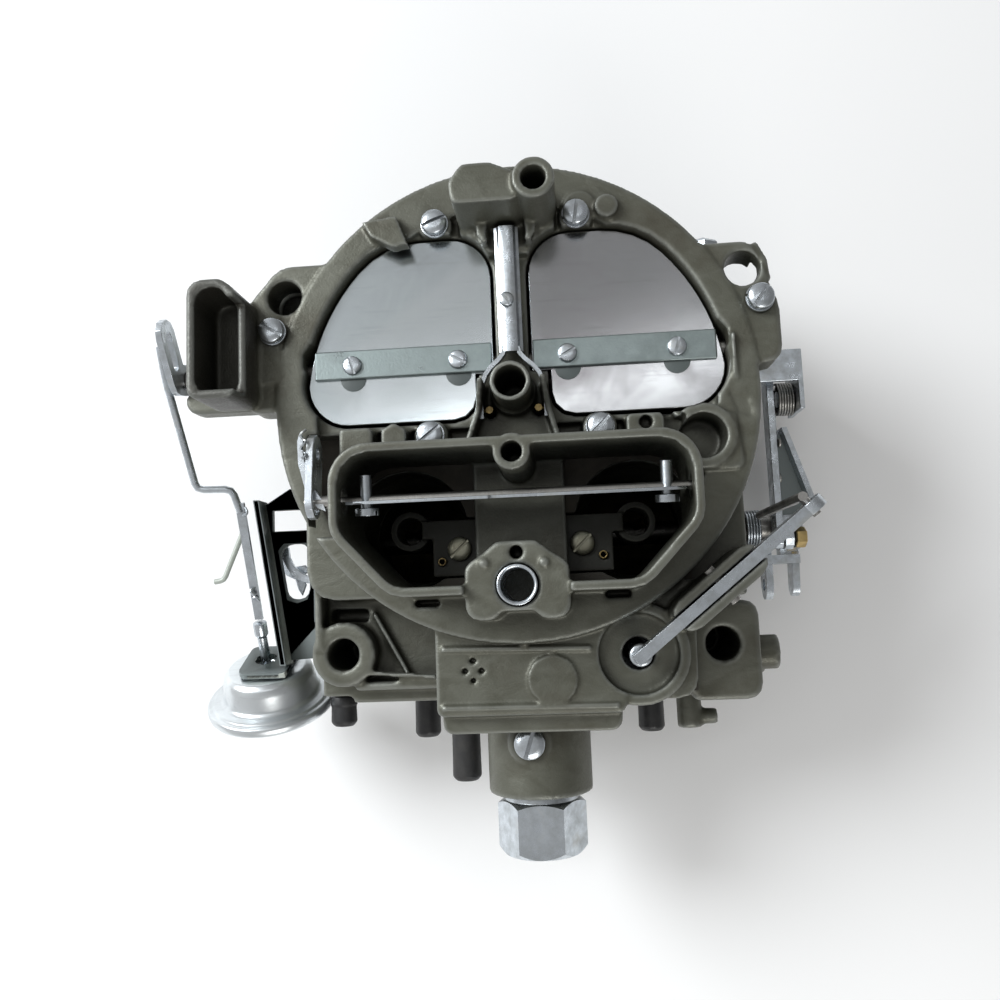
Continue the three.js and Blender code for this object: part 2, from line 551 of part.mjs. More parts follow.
function inletNut() {
  const { x, z, mouth } = INLET;
  const hex = new THREE.ExtrudeGeometry(hexagon(INLET.nut), { depth: 15, bevelEnabled: false });
  return cut(
    join(
      solid(hex.rotateX(-Math.PI / 2).translate(x, mouth - 17, z)),
      cylinder('y', 10.8, [mouth - 2.5, mouth - GAP], [x, z]),
      cylinder('y', 10.2, [mouth - 1, mouth + 10], [x, z]),
    ),
    cylinder('y', 5.6, [mouth - 18, mouth - 6], [x, z], 16),
    cylinder('y', 3, [mouth - 8, mouth + 11], [x, z], 12),
  );
}
add('fuel_inlet_nut', inletNut(), zinc);
add('fuel_filter', cut(
  cylinder('y', 7, [-82, -69], [INLET.x, INLET.z], 16),
  cylinder('y', 3, [-83, -72], [INLET.x, INLET.z], 10),
), brass);
add('inlet_boss_screw', slottedScrew([-0.5, -77.4], {
  under: INLET.z + INLET.outer + GAP, tip: 57, shank: 1.8, head: 4.3, tall: 2.4, turn: 2.2,
}), zinc);
add('needle_seat', tube('z', 4.4, 1.5, [36.3, 50], [0, FLOAT.needleY], 12), brass);

// A soft cap pushed over a stub that points forward. The stub ends inside it.
function stubCap([x, z], radius, [front, stubEnd, mouth]) {
  return cut(
    turned([[0, front], [radius - 1, front], [radius, front + 1.2], [radius, mouth], [0, mouth]], 14, 'y', [x, 0, z]),
    cylinder('y', 2.9, [stubEnd - 0.5, mouth + 1], [x, z], 10),
  );
}
add('port_cap', stubCap([-21.5, 38], 4.7, [-92, -80, -74]), rubber);
add('corner_cap', stubCap([-58, 44], 4.2, [-74, -70, -65]), rubber);

for (const [label, side] of SIDES) {
  add(`idle_mixture_screw_${label}`, turned([
    [0, -72], [2.2, -72], [2.2, -45], [0.6, -38.5], [0, -38.5],
  ], 10, 'y', [side * 37, 0, 15]), steel);
  add(`mixture_cap_${label}`, cut(
    turned([[0, -82], [3.4, -82], [4.4, -80.4], [4.4, -63], [0, -63]], 12, 'y', [side * 37, 0, 15]),
    cylinder('y', 2.6, [-72.5, -62], [side * 37, 15], 10),
  ), plastic);
}

const idleSpeedProfile = [[0, -50], [3.4, -50], [3.4, -47], [2.1, -47], [2.1, -27], [0, -27]];
add('idle_speed_screw', turned(idleSpeedProfile, 12, 'y', [66, 0, 9]), zinc);
add('pump_lever_pin', acrossLever(1.5, [-5.4, 5.4], 0), steel);

function rearPlug() {
  const hex = new THREE.ExtrudeGeometry(hexagon(8.4), { depth: 8, bevelEnabled: false });
  return join(
    solid(hex.rotateX(-Math.PI / 2).translate(58.5, 62.3, 45)),
    cylinder('y', 3, [70, 77], [58.5, 45], 12),
  );
}
add('rear_hex_plug', rearPlug(), zinc);

// ---------------------------------------------------------------- vacuum break: can, bracket and link
// Its own +Z is the stem's axis, which leans back and up from the can.
const vacuumBreak = group(VACUUM_CAN.centre);
vacuumBreak.rotation.x = THREE.MathUtils.degToRad(VACUUM_CAN.tilt);
add('vacuum_can', turned([
  [0, -9.4], [9, -9], [17.6, -7.2], [VACUUM_CAN.flange, -6.4], [VACUUM_CAN.flange, -3.6], [18.6, -2.8],
  [14.6, -1.8], [13.6, 5.2], [12.2, 6.8], [3.2, 6.8], [3.2, -7], [0, -7],
], 30), zinc, vacuumBreak);

function inCanFrame(geometry) {
  const turn = THREE.MathUtils.degToRad(VACUUM_CAN.tilt);
  return solid(geometry.rotateX(turn).translate(...VACUUM_CAN.centre));
}

// A folded plate with a slanting outer flange, a flange on the bowl's side and a tab that holds the can.
function breakBracket() {
  const tab = new THREE.ExtrudeGeometry(roundedOutline([
    [-6.5, -9, 3], [8.4, -9, 2], [8.4, 8, 2], [-6.5, 8, 2],
  ]), { depth: 1.8, bevelEnabled: false }).translate(0, 0, 7.2);
  const stemHole = new THREE.CylinderGeometry(3.4, 3.4, 6, 12).rotateX(Math.PI / 2).translate(0, 0, 8);
  const plate = [[-82.3, -6.5], [-73, -0.8], [-61.3, -0.8], [-61.3, -42], [-64, -53], [-75, -53.5]];
  const flange = [[-82.5, -4.6], [-80.7, -4.6], [-72.9, -54.6], [-74.7, -54.6]];
  const camWindow = [[-74, -35, 3], [-67, -35, 3], [-67, -18, 3], [-76.8, -18, 4]];
  return cut(
    join(
      slab(roundedOutline(plate), [46, 47.8]),
      slab(roundedOutline(flange), [46, 54]),
      box([-63.1, -61.3], [-42, -6], [46, 57]),
      inCanFrame(tab),
    ),
    box([-78.4, -65], [-13.9, -7.4], [45, 49]),
    slab(roundedOutline(camWindow), [45, 49]),
    inCanFrame(stemHole),
  );
}
add('vacuum_break_bracket', breakBracket(), phosphate);

function vacuumLink() {
  const stem = new THREE.CylinderGeometry(2.2, 2.2, 22, 10).rotateX(Math.PI / 2).translate(0, 0, 11);
  return join(
    bar([[-97.8, 36, 84], [-97.8, 27, 80], [-95, -1, 66.8], [-93, -2.4, 66.2], [-85.6, -2.4, 65.6], [-84, -4, 65],
      [-82.6, -11, 62.5], [-82, -43, 49.9]], 1.3, 18, 5),
    inCanFrame(stem),
  );
}
add('vacuum_link', vacuumLink(), zinc);

// ---------------------------------------------------------------- fast idle cam
function fastIdleCam() {
  const crescent = roundedOutline([
    ...Array.from({ length: 6 }, (_, k) => {
      const angle = THREE.MathUtils.degToRad(178 + 19 * k);
      return [-66 + 11.6 * Math.cos(angle), -19 + 11.6 * Math.sin(angle)];
    }),
    ...Array.from({ length: 6 }, (_, k) => {
      const angle = THREE.MathUtils.degToRad(273 - 19 * k);
      return [-66 + 9.2 * Math.cos(angle), -19 + 9.4 * Math.sin(angle)];
    }),
  ]);
  return join(
    slab(crescent, [41.6, 43.2]),
    box([-67, -63.6], [-32, -27.4], [41.6, 43.2]),
    slabAcrossX(capsule([-14, 38], [-26, 39], 5.4), [-65.4, -63.6]),
    box([-65.4, -63.6], [-32, -24], [38, 43.2]),
  );
}
add('fast_idle_cam', cut(fastIdleCam(), cylinder('x', 2.2, [-68, -60], [-14, 38], 12)), zinc);

// ---------------------------------------------------------------- return spring and its bracket
add('spring_bracket', join(
  box([63.4, 88], [27, 37], [36, 37.6]),
  box([86.4, 88], [18, 37], [21, 37.6]),
  cylinder('x', 2.6, [81.4, 87], [23, 28], 12),
), zinc);

function coil([x0, x1], [y, z], radius, wire, turns) {
  class Helix extends THREE.Curve {
    getPoint(t) {
      const angle = 2 * Math.PI * turns * t;
      return new THREE.Vector3(x0 + (x1 - x0) * t, y + radius * Math.cos(angle), z + radius * Math.sin(angle));
    }
  }
  const section = new THREE.Shape(Array.from({ length: 5 }, (_, k) => (
    new THREE.Vector2(wire * Math.cos(1.2566 * k), wire * Math.sin(1.2566 * k))
  )));
  return solid(new THREE.ExtrudeGeometry(section, { steps: turns * 10, extrudePath: new Helix() }));
}
add('throttle_return_spring', coil([82.2, 85.4], [23, 28], 4.9, 0.5, 3), steel);

// ---------------------------------------------------------------- throttle shafts, plates and levers
function throttleShaft(radius, [from, to], boreX, plateRadius) {
  const slot = (side) => box([side * boreX - plateRadius - GAP, side * boreX + plateRadius + GAP], [-6, 6], [-1, 1]);
  return cut(cylinder('x', radius, [from, to], [0, 0], 18), slot(-1), slot(1));
}

const primary = group([0, PRIMARY.y, PRIMARY.z]);
const secondary = group([0, SECONDARY.y, SECONDARY.z]);
const PLATE_CLEARANCE = 0.35;
for (const [holder, name, bore, shaftEnds] of [
  [primary, 'primary', PRIMARY, [-62, 88]],
  [secondary, 'secondary', SECONDARY, [-69, 76]],
]) {
  const radius = bore.bore - PLATE_CLEARANCE;
  add(`${name}_shaft`, throttleShaft(bore.shaft, shaftEnds, bore.x, radius), steel, holder);
  for (const [label, side] of SIDES) {
    add(`${name}_plate_${label}`, cylinder('z', radius, [-0.7, 0.7], [side * bore.x, 0], 32), brass, holder);
  }
}

function throttleLever() {
  const [pinY, pinZ] = LINKAGE.pin;
  const wing = roundedOutline([[80.9, 31, 0.8], [83.4, 31, 1], [91, 7, 2], [91, 3], [80.9, 3]]);
  const wingWall = roundedOutline([[81.8, 31], [83.4, 31], [91.2, 6], [91.2, 3], [89.6, 3], [89.6, 5.6]]);
  return cut(
    join(
      cylinder('x', 7.6, [80.9, 87.4], [0, 0]),
      slabAcrossX(capsule([0, 0], [pinY, pinZ], 3.8), [80.9, 83.4]),
      cylinder('x', LINKAGE.pinRadius, [77.6, 82], [pinY, pinZ], 12),
      slab(wing, [5, 7]),
      slab(wingWall, [5, 13]),
      box([81, 86.5], [-12, -4], [-3, 3]),
      box([75.6, 86.6], [-12, -9.2], [-5, 5]),
      slabAcrossX(capsule([-19, 0], [-10, 0], 4.6), [75.6, 77.8]),
      slabAcrossX(capsule([-19, -1], [-10, 0], 3.6), [84.4, 86.6]),
    ),
    cylinder('x', PRIMARY.shaft + GAP, [79, 90], [0, 0], 18),
    cylinder('x', 2, [75, 78], [-18.6, 0], 10),
  );
}
add('throttle_lever', throttleLever(), zinc, primary);

add('throttle_link', cut(
  slabAcrossX(capsule(
    [PRIMARY.y + LINKAGE.pin[0], PRIMARY.z + LINKAGE.pin[1]],
    [SECONDARY.y + LINKAGE.pin[0], SECONDARY.z + LINKAGE.pin[1]],
    3.5,
  ), LINKAGE.link),
  ...[PRIMARY, SECONDARY].map(({ y, z }) => cylinder(
    'x', LINKAGE.pinRadius + 0.4, [77, 82], [y + LINKAGE.pin[0], z + LINKAGE.pin[1]], 12,
  )),
), zinc);

add('secondary_lever', cut(
  join(
    cylinder('x', 7, [71, 74], [0, 0]),
    slabAcrossX(capsule([0, 0], LINKAGE.pin, 4), [71, 74]),
    cylinder('x', LINKAGE.pinRadius, [73, 82], LINKAGE.pin, 12),
  ),
  cylinder('x', SECONDARY.shaft + GAP, [70, 75], [0, 0], 18),
), zinc, secondary);

// ---------------------------------------------------------------- choke, held wide open
// The valve is drawn flat and closed in its own frame, then stood just past upright. Its front half hangs down.
const choke = group([0, CHOKE.y, CHOKE.z]);
const chokeValve = new THREE.Group();
chokeValve.rotation.x = THREE.MathUtils.degToRad(CHOKE.lean);
choke.add(chokeValve);
const CHOKE_SCREW_X = 38;

add('choke_shaft', cut(
  cylinder('x', CHOKE.shaft, [-54, 44.6], [0, 0], 16),
  box([-42.8, 42.8], [-4, 4], [0.15, 4]),
  ...[-1, 1].map((side) => cylinder('z', 1.8, [-4, 4], [side * CHOKE_SCREW_X, 0], 10)),
), steel, chokeValve);

function chokePlate() {
  const clearance = CHOKE_HORN.wall + 1;
  const outline = hornOutline(clearance).getPoints().map(({ x, y }) => new THREE.Vector2(x, y - CHOKE.y));
  return cut(
    slab(new THREE.Shape(outline), [0.5, 1.7]),
    box([-13.4, 13.4], [-30, -11.6], [0, 3]),
    box([-6, 6], [3.4, 20], [0, 3]),
    ...[-1, 1].map((side) => cylinder('z', 1.8, [0, 3], [side * CHOKE_SCREW_X, 0], 10)),
  );
}
add('choke_plate', chokePlate(), zinc, chokeValve);
for (const [label, side] of SIDES) {
  add(`choke_screw_${label}`, slottedScrew([side * CHOKE_SCREW_X, 0], {
    under: 2, tip: -6.5, shank: 1.5, head: 3.1, tall: 2, turn: 0.4,
  }), zinc, chokeValve);
}
add('choke_lever', cut(
  slabAcrossX(capsule([0, 0], [13.6, -2], 4.4), [-53, -51]),
  cylinder('x', CHOKE.shaft + GAP, [-54, -50], [0, 0], 16),
  cylinder('x', 1.6, [-54, -50], [13, -2], 10),
), zinc, choke);

// ---------------------------------------------------------------- air valves, closed
const airValves = group([0, AIR_VALVE.y, AIR_VALVE.z]);
add('air_valve_shaft', cylinder('x', AIR_VALVE.shaft, [-96, 60], [0, 0], 14), steel, airValves);
for (const [label, side] of SIDES) {
  const outline = airValveOutline(side, 0.8).getPoints().map(({ x, y }) => new THREE.Vector2(x, y - AIR_VALVE.y));
  add(`air_valve_${label}`, join(
    slab(new THREE.Shape(outline), [2.7, 4]),
    box(side < 0 ? [-54.8, -5.6] : [5.6, 54.8], [-3.7, 4.4], [3.6, 5.2]),
    ...[14.9, 44.2].map((x) => cylinder('z', 2.6, [5, 6.6], [side * x, 0], 12)),
  ), zinc, airValves);
}
add('air_valve_lever', cut(
  join(
    slabAcrossX(capsule([0, 0], [-1, 5], 4.4), [-95, -93.2]),
    slabAcrossX(capsule([-1, 5], [9.5, 12.5], 4.4), [-95, -93.2]),
  ),
  cylinder('x', AIR_VALVE.shaft + GAP, [-96, -92], [0, 0], 14),
  slabAcrossX(capsule([2.6, 7.6], [8.9, 12.1], 1.8, 4), [-96, -92]),
), zinc, airValves);

// ---------------------------------------------------------------- secondary metering rods and their hanger
const hanger = group([0, HANGER.y, HANGER.z]);
hanger.rotation.x = THREE.MathUtils.degToRad(HANGER.droop);
const rodReach = -HANGER.reach;

function rodHanger() {
  const arm = (side) => {
    const [near, far] = HANGER.arm.map((x) => side * x);
    return slab(new THREE.Shape([
      [side * 1.6, -29], [side * 3.4, -29], [far, -37], [far, rodReach - 2.6], [near, rodReach - 2.6], [near, -38],
      [side * 2.6, -32.4], [side * 1.6, -32.4],
    ].map(([x, y]) => new THREE.Vector2(x, y))), [-1.2, 2.4]);
  };
  return cut(
    join(
      box([-3.4, 3.4], [-32.4, 1.6], [-1.2, 3]),
      cylinder('x', 1.6, [-8, 8], [0, 0], 12),
      arm(-1),
      arm(1),
    ),
    box([-2, 2], [-34, -3], [0.2, 4]),
    cylinder('x', 1.15, [-10, 10], [rodReach, 0.6], 10),
  );
}
add('metering_rod_hanger', rodHanger(), zinc, hanger);
const rodPinZ = HANGER.z + 0.6 - HANGER.reach * Math.sin(hanger.rotation.x);
for (const [label, side] of SIDES) {
  const pin = side < 0 ? [-9.8, -HANGER.rodX] : [HANGER.rodX, 9.8];
  add(`secondary_rod_${label}`, join(
    cylinder('z', 1, [42, rodPinZ + 0.8], [side * HANGER.rodX, HANGER.rodY], 8),
    cylinder('x', 0.7, pin, [HANGER.rodY + 0.1, rodPinZ], 6),
  ), brass);
}

// ---------------------------------------------------------------- accelerator pump
const pumpLever = group(PUMP_LEVER.pivot);
pumpLever.rotation.z = leverTurn;
add('pump_lever', cut(
  join(
    box([-PUMP_LEVER.inner, PUMP_LEVER.outer], [-1.5, 1.5], [-2.5, 3.4]),
    cylinder('y', 3.6, [-1.5, 1.5], [PUMP_LEVER.outer, 0.4], 14),
  ),
  cylinder('y', 1.9, [-2, 2], [0, 0], 12),
  cylinder('y', 1.6, [-2, 2], [PUMP_LEVER.outer, 0], 12),
), zinc, pumpLever);
add('pump_rod', join(
  cylinder('y', 1.2, [-2.4, 4], [PUMP_LEVER.outer, 0], 10),
  cylinder('z', 1.3, [-53, 1.2], [PUMP_LEVER.outer, 3.4], 10),
), steel, pumpLever);
add('pump_plunger', turned([
  [0, 46], [7.3, 46], [7.3, 52], [PUMP.stem, 53], [PUMP.stem, PUMP.top - 1.6],
  [3, PUMP.top - 1.6], [3, PUMP.top], [0, PUMP.top],
], 18, 'z', [PUMP.x, PUMP.y, 0]), zinc);

// ---------------------------------------------------------------- fuel level and power pieces inside the bowl
add('float', join(
  cylinder('x', 1.2, [-19.7, 19.7], [FLOAT.hingeY, FLOAT.hingeZ], 10),
  box([-3, 3], [-54, -30], [62.4, 64]),
  slab(roundedOutline([[-8.5, -34, 3], [8.5, -34, 3], [8.5, -4.5, 4], [-8.5, -4.5, 4]]), [49, 63]),
), plastic);
add('needle_valve', turned([
  [0, 48], [1.1, 48.5], [1.2, 50], [2.4, 52], [2.4, 61], [0, 61],
], 10, 'z', [0, FLOAT.needleY, 0]), steel);
add('power_piston', join(
  cylinder('z', POWER_PISTON.radius, [43, 66], [0, POWER_PISTON.y], 12),
  box([-7, 7], [POWER_PISTON.y - 1.1, POWER_PISTON.y + 1.1], [65, 66.8]),
  ...[-1, 1].map((side) => cylinder('z', 0.8, [38, 66], [side * 6, POWER_PISTON.y], 6)),
), brass);

export default carburetor;
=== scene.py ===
import json
import math

import bmesh
import bpy
import numpy as np
from mathutils import Matrix, Vector


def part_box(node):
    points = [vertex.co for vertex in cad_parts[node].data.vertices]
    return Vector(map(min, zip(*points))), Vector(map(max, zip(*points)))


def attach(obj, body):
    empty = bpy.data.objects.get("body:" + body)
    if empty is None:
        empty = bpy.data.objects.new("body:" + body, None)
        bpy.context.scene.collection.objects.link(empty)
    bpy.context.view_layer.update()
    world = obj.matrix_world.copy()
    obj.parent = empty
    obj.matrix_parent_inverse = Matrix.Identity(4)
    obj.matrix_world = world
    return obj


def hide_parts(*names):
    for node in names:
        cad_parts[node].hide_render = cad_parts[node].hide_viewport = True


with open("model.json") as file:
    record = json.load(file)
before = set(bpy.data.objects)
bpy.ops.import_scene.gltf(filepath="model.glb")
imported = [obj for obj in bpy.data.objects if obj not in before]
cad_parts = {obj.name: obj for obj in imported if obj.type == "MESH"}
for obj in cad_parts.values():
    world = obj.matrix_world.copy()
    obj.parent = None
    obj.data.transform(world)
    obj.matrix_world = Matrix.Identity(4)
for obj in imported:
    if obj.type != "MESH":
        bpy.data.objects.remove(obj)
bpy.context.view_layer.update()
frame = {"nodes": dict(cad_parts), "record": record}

MM = 0.001
WELD = 1e-6


# ---------------------------------------------------------------- materials
class Look:
    """One procedural material. Its patterns follow each piece's own coordinates, in metres."""

    def __init__(self, name, metallic, roughness):
        self.material = bpy.data.materials.new(name)
        self.material.use_nodes = True
        self.tree = self.material.node_tree
        self.tree.nodes.clear()
        self.shader = self.add("BsdfPrincipled")
        self.shader.inputs["Metallic"].default_value = metallic
        self.shader.inputs["Roughness"].default_value = roughness
        out = self.add("OutputMaterial")
        self.tree.links.new(self.shader.outputs[0], out.inputs["Surface"])
        self.place = self.add("TexCoord").outputs["Object"]

    def add(self, kind, inputs=None, **settings):
        """A shader node, with each input linked to a socket or set to a constant."""
        node = self.tree.nodes.new("ShaderNode" + kind)
        for key, value in settings.items():
            setattr(node, key, value)
        for key, value in (inputs or {}).items():
            if isinstance(value, bpy.types.NodeSocket):
                self.tree.links.new(value, node.inputs[key])
            else:
                node.inputs[key].default_value = value
        return node

    def noise(self, size_mm, detail=3.0, roughness=0.5, stretch=(1, 1, 1), distortion=0.0):
        """Cloudy noise whose features are about this many millimetres across."""
        where = self.add("Mapping", {"Vector": self.place, "Scale": stretch}).outputs[0]
        settings = {"Vector": where, "Scale": 1 / (size_mm * MM), "Detail": detail,
                    "Roughness": roughness, "Distortion": distortion}
        return self.add("TexNoise", settings).outputs["Fac"]

    def spread(self, value, low, high, to_low=0.0, to_high=1.0):
        """Maps the range low..high onto to_low..to_high, and holds it beyond both ends."""
        settings = {"Value": value, "From Min": low, "From Max": high, "To Min": to_low, "To Max": to_high}
        return self.add("MapRange", settings).outputs[0]

    def blend(self, share, first, second):
        """A colour mixed from two others: all first where share is 0, and all second where it is 1."""
        node = self.add("Mix", data_type="RGBA")
        share_input, first_input, second_input = node.inputs[0], node.inputs[6], node.inputs[7]
        self.tree.links.new(share, share_input)
        for socket, value in ((first_input, first), (second_input, second)):
            if isinstance(value, bpy.types.NodeSocket):
                self.tree.links.new(value, socket)
            else:
                socket.default_value = (*value, 1.0)
        return node.outputs[2]

    def edges(self, low=0.51, high=0.56, strength=0.5):
        """How far a place is worn, from 0 on flats and in corners to the given strength on outer edges."""
        return self.spread(self.add("NewGeometry").outputs["Pointiness"], low, high, 0.0, strength)

    def shelter(self, reach_mm, samples=6):
        """Open sky around a place, used for painted shade: near 0 deep in a hollow, and 1 on an open face."""
        settings = {"Distance": reach_mm * MM}
        return self.add("AmbientOcclusion", settings, samples=samples).outputs["AO"]

    def maths(self, operation, first, second):
        """One sum or product of two sockets."""
        return self.add("Math", {0: first, 1: second}, operation=operation).outputs[0]

    def bump(self, height, depth_mm, normal=None):
        """A bumped normal, on top of an earlier one where that is given."""
        inputs = {"Height": height, "Distance": depth_mm * MM, "Strength": 1.0}
        if normal is not None:
            inputs["Normal"] = normal
        return self.add("Bump", inputs).outputs[0]

    def finish(self, colour, roughness=None, normal=None):
        """Wires what was worked out into the shader and returns the material."""
        for name, socket in (("Base Color", colour), ("Roughness", roughness), ("Normal", normal)):
            if socket is not None:
                self.tree.links.new(socket, self.shader.inputs[name])
        return self.material


# Where the sensor pocket's walls are painted dark as painted shade.
SENSOR_POCKET_X = (-70, -65)
SENSOR_POCKET_Z = (83.5, 88)


def pocket_painted_shade(look):
    """Painted shade in the sensor pocket: 1 on its walls, fading to 0 towards the rest of the air horn."""
    place = look.add("SeparateXYZ", {"Vector": look.add("NewGeometry").outputs["Position"]})
    beside = look.spread(place.outputs["X"], SENSOR_POCKET_X[0] * MM, SENSOR_POCKET_X[1] * MM, 1.0, 0.0)
    above = look.spread(place.outputs["Z"], SENSOR_POCKET_Z[0] * MM, SENSOR_POCKET_Z[1] * MM)
    return look.maths("MULTIPLY", beside, above)


def casting_look():
    """Die casting with a grey-olive coat: fine grain, faint flow marks, painted shade in deep hollows, tight
    corners and the sensor pocket, worn edges.
    """
    look = Look("die_casting", 0.4, 0.42)
    grain = look.noise(0.45, 2.0)
    flow = look.noise(9, 4.0, 0.6, (1, 1.6, 1), 0.6)
    stain = look.noise(24, 5.0, 0.65)
    colour = look.blend(look.spread(flow, 0.35, 0.65), (0.096, 0.097, 0.075), (0.122, 0.124, 0.1))
    colour = look.blend(look.spread(stain, 0.5, 0.72, 0.0, 0.75), colour, (0.066, 0.06, 0.042))
    # Painted shade: the sensor pocket's walls darkened nearly to black.
    colour = look.blend(look.spread(pocket_painted_shade(look), 0.0, 1.0, 0.0, 0.8), colour, (0.022, 0.019, 0.016))
    # Painted shade: near black deep in the bores and hollows.
    colour = look.blend(look.spread(look.shelter(30), 0.08, 0.55, 0.85, 0.0), colour, (0.018, 0.018, 0.014))
    # Painted shade: darker in tight corners and creases.
    colour = look.blend(look.spread(look.shelter(4), 0.35, 0.95, 0.6, 0.0), colour, (0.025, 0.024, 0.018))
    colour = look.blend(look.edges(0.51, 0.55, 0.55), colour, (0.27, 0.28, 0.26))
    roughness = look.spread(look.maths("ADD", flow, grain), 0.7, 1.3, 0.34, 0.55)
    normal = look.bump(grain, 0.05)
    normal = look.bump(flow, 0.25, normal)
    return look.finish(colour, roughness, normal)


def zinc_look():
    """Bright zinc plate: bluish, faintly mottled, with fine scratches, duller handling marks and painted
    shade in its hollows.
    """
    look = Look("zinc_plate", 1.0, 0.3)
    mottle = look.noise(3.2, 4.0, 0.6)
    scratch = look.noise(0.35, 2.0)
    film = look.noise(14, 4.0, 0.6, distortion=0.8)
    colour = look.blend(look.spread(mottle, 0.35, 0.68), (0.66, 0.71, 0.76), (0.45, 0.48, 0.5))
    colour = look.blend(look.spread(film, 0.56, 0.72, 0.0, 0.5), colour, (0.5, 0.49, 0.44))
    # Painted shade: darker in the hollows.
    colour = look.blend(look.spread(look.shelter(3, 4), 0.3, 0.9, 0.55, 0.0), colour, (0.1, 0.1, 0.095))
    roughness = look.spread(look.maths("ADD", film, mottle), 0.7, 1.3, 0.2, 0.42)
    normal = look.bump(scratch, 0.02)
    normal = look.bump(mottle, 0.05, normal)
    return look.finish(colour, roughness, normal)


def sheet_look(name, clear, stained, gloss=(0.14, 0.22)):
    """Rolled or pressed sheet metal: smooth and shiny, with broad cloudy stains and a few faint rubs."""
    look = Look(name, 1.0, 0.2)
    cloud = look.noise(16, 3.0, 0.6, distortion=0.6)
    rub = look.noise(1.2, 3.0, 0.6, (0.08, 1, 1))
    rubbed = tuple(0.8 * part for part in stained)
    colour = look.blend(look.spread(cloud, 0.35, 0.65), clear, stained)
    colour = look.blend(look.spread(rub, 0.55, 0.75, 0.0, 0.35), colour, rubbed)
    colour = look.blend(look.edges(), colour, (0.8, 0.84, 0.86))
    roughness = look.spread(cloud, 0.3, 0.7, *gloss)
    return look.finish(colour, roughness, look.bump(cloud, 0.012))


def turned_look(name, bright, dark, roughness):
    """Turned or drawn metal with tool lines across X and light tarnish, and painted shade that makes it
    nearly black deep in a bore.
    """
    look = Look(name, 1.0, roughness)
    lines = look.noise(0.4, 1.0, 0.5, (1, 0.05, 0.05))
    tarnish = look.noise(6, 4.0, 0.65, distortion=0.5)
    colour = look.blend(look.spread(tarnish, 0.38, 0.7), bright, dark)
    # Painted shade: nearly black deep in a bore.
    colour = look.blend(look.spread(look.shelter(45), 0.05, 0.5, 0.93, 0.0), colour, (0.01, 0.009, 0.006))
    gloss = look.spread(tarnish, 0.3, 0.75, roughness - 0.08, roughness + 0.16)
    return look.finish(colour, gloss, look.bump(lines, 0.03))


def soft_look(name, base, dusty, roughness, metallic=0.0, worn=None):
    """Rubber, plastic, fibre, dull or blackened metal, and casting painted dark as painted shade: low sheen,
    dust, and worn corners where asked.
    """
    look = Look(name, metallic, roughness)
    pebble = look.noise(0.6, 2.0)
    dust = look.noise(7, 5.0, 0.65)
    colour = look.blend(look.spread(dust, 0.45, 0.75, 0.0, 0.8), base, dusty)
    if worn:
        colour = look.blend(look.edges(strength=0.8), colour, worn)
    gloss = look.spread(dust, 0.3, 0.75, roughness - 0.1, roughness + 0.15)
    return look.finish(colour, gloss, look.bump(pebble, 0.04))


CASTING = casting_look()
ZINC = zinc_look()
# The air valve plates are one zinc sheet: the left one painted lighter as painted light, the right one
# painted darker as painted shade.
VALVE_LIT_AND_SHADED_LOOKS = {
    "left": sheet_look("air_valve_left_plate_painted_light", (0.7, 0.78, 0.81), (0.5, 0.55, 0.58)),
    "right": sheet_look("air_valve_right_plate_painted_shade", (0.36, 0.36, 0.37), (0.27, 0.26, 0.27)),
}
BAND = soft_look("air_valve_band", (0.3, 0.35, 0.35), (0.22, 0.26, 0.255), 0.35, 0.85)
CAN_ZINC = sheet_look("can_zinc", (0.78, 0.82, 0.84), (0.64, 0.67, 0.69), (0.28, 0.4))
STEEL = turned_look("turned_steel", (0.5, 0.49, 0.47), (0.28, 0.27, 0.25), 0.34)
BRASS = turned_look("brass", (0.62, 0.46, 0.2), (0.34, 0.25, 0.12), 0.36)
PALE_BRASS = turned_look("pale_brass", (0.78, 0.76, 0.6), (0.6, 0.57, 0.42), 0.4)
# A near-black copy of the brass for the throttle plates, as painted shade deep in the bores.
SHADED_BRASS = turned_look("brass_painted_shade", (0.075, 0.06, 0.035), (0.035, 0.03, 0.02), 0.55)
# A near-black copy of the casting for the boosters, as painted shade inside the bores.
SHADED_CASTING = soft_look("casting_painted_shade", (0.03, 0.03, 0.024), (0.05, 0.05, 0.04), 0.6, 0.2, (0.1, 0.1, 0.085))
RUBBER = soft_look("moulded_rubber", (0.012, 0.012, 0.013), (0.04, 0.038, 0.035), 0.55)
PLASTIC = soft_look("moulded_plastic", (0.015, 0.015, 0.016), (0.035, 0.035, 0.033), 0.42)
FIBRE = soft_look("gasket_fibre", (0.05, 0.045, 0.036), (0.09, 0.08, 0.065), 0.85)
BLACKED = soft_look("black_phosphate", (0.024, 0.033, 0.031), (0.036, 0.045, 0.042), 0.45,
                    worn=(0.2, 0.23, 0.23))
PALE = soft_look("dull_zinc_edge", (0.4, 0.43, 0.39), (0.5, 0.53, 0.49), 0.4, 0.15)
SLOT_LOOKS = {"casting": CASTING, "zinc": ZINC, "steel": STEEL, "brass": BRASS, "rubber": RUBBER,
              "phosphate": BLACKED, "gasket": FIBRE, "plastic": PLASTIC}
NODE_SLOT = {entry["node"]: entry["material_slot"] for entry in frame["record"]["subparts"]}
NODE_BODY = {node: body for body, nodes in frame["record"]["behaviour"]["bodies"].items() for node in nodes}


# ---------------------------------------------------------------- meshes
def new_object(name, mesh, material):
    """An object in the scene with one material."""
    piece = bpy.data.objects.new(name, mesh)
    bpy.context.scene.collection.objects.link(piece)
    mesh.materials.clear()
    mesh.materials.append(material)
    return piece


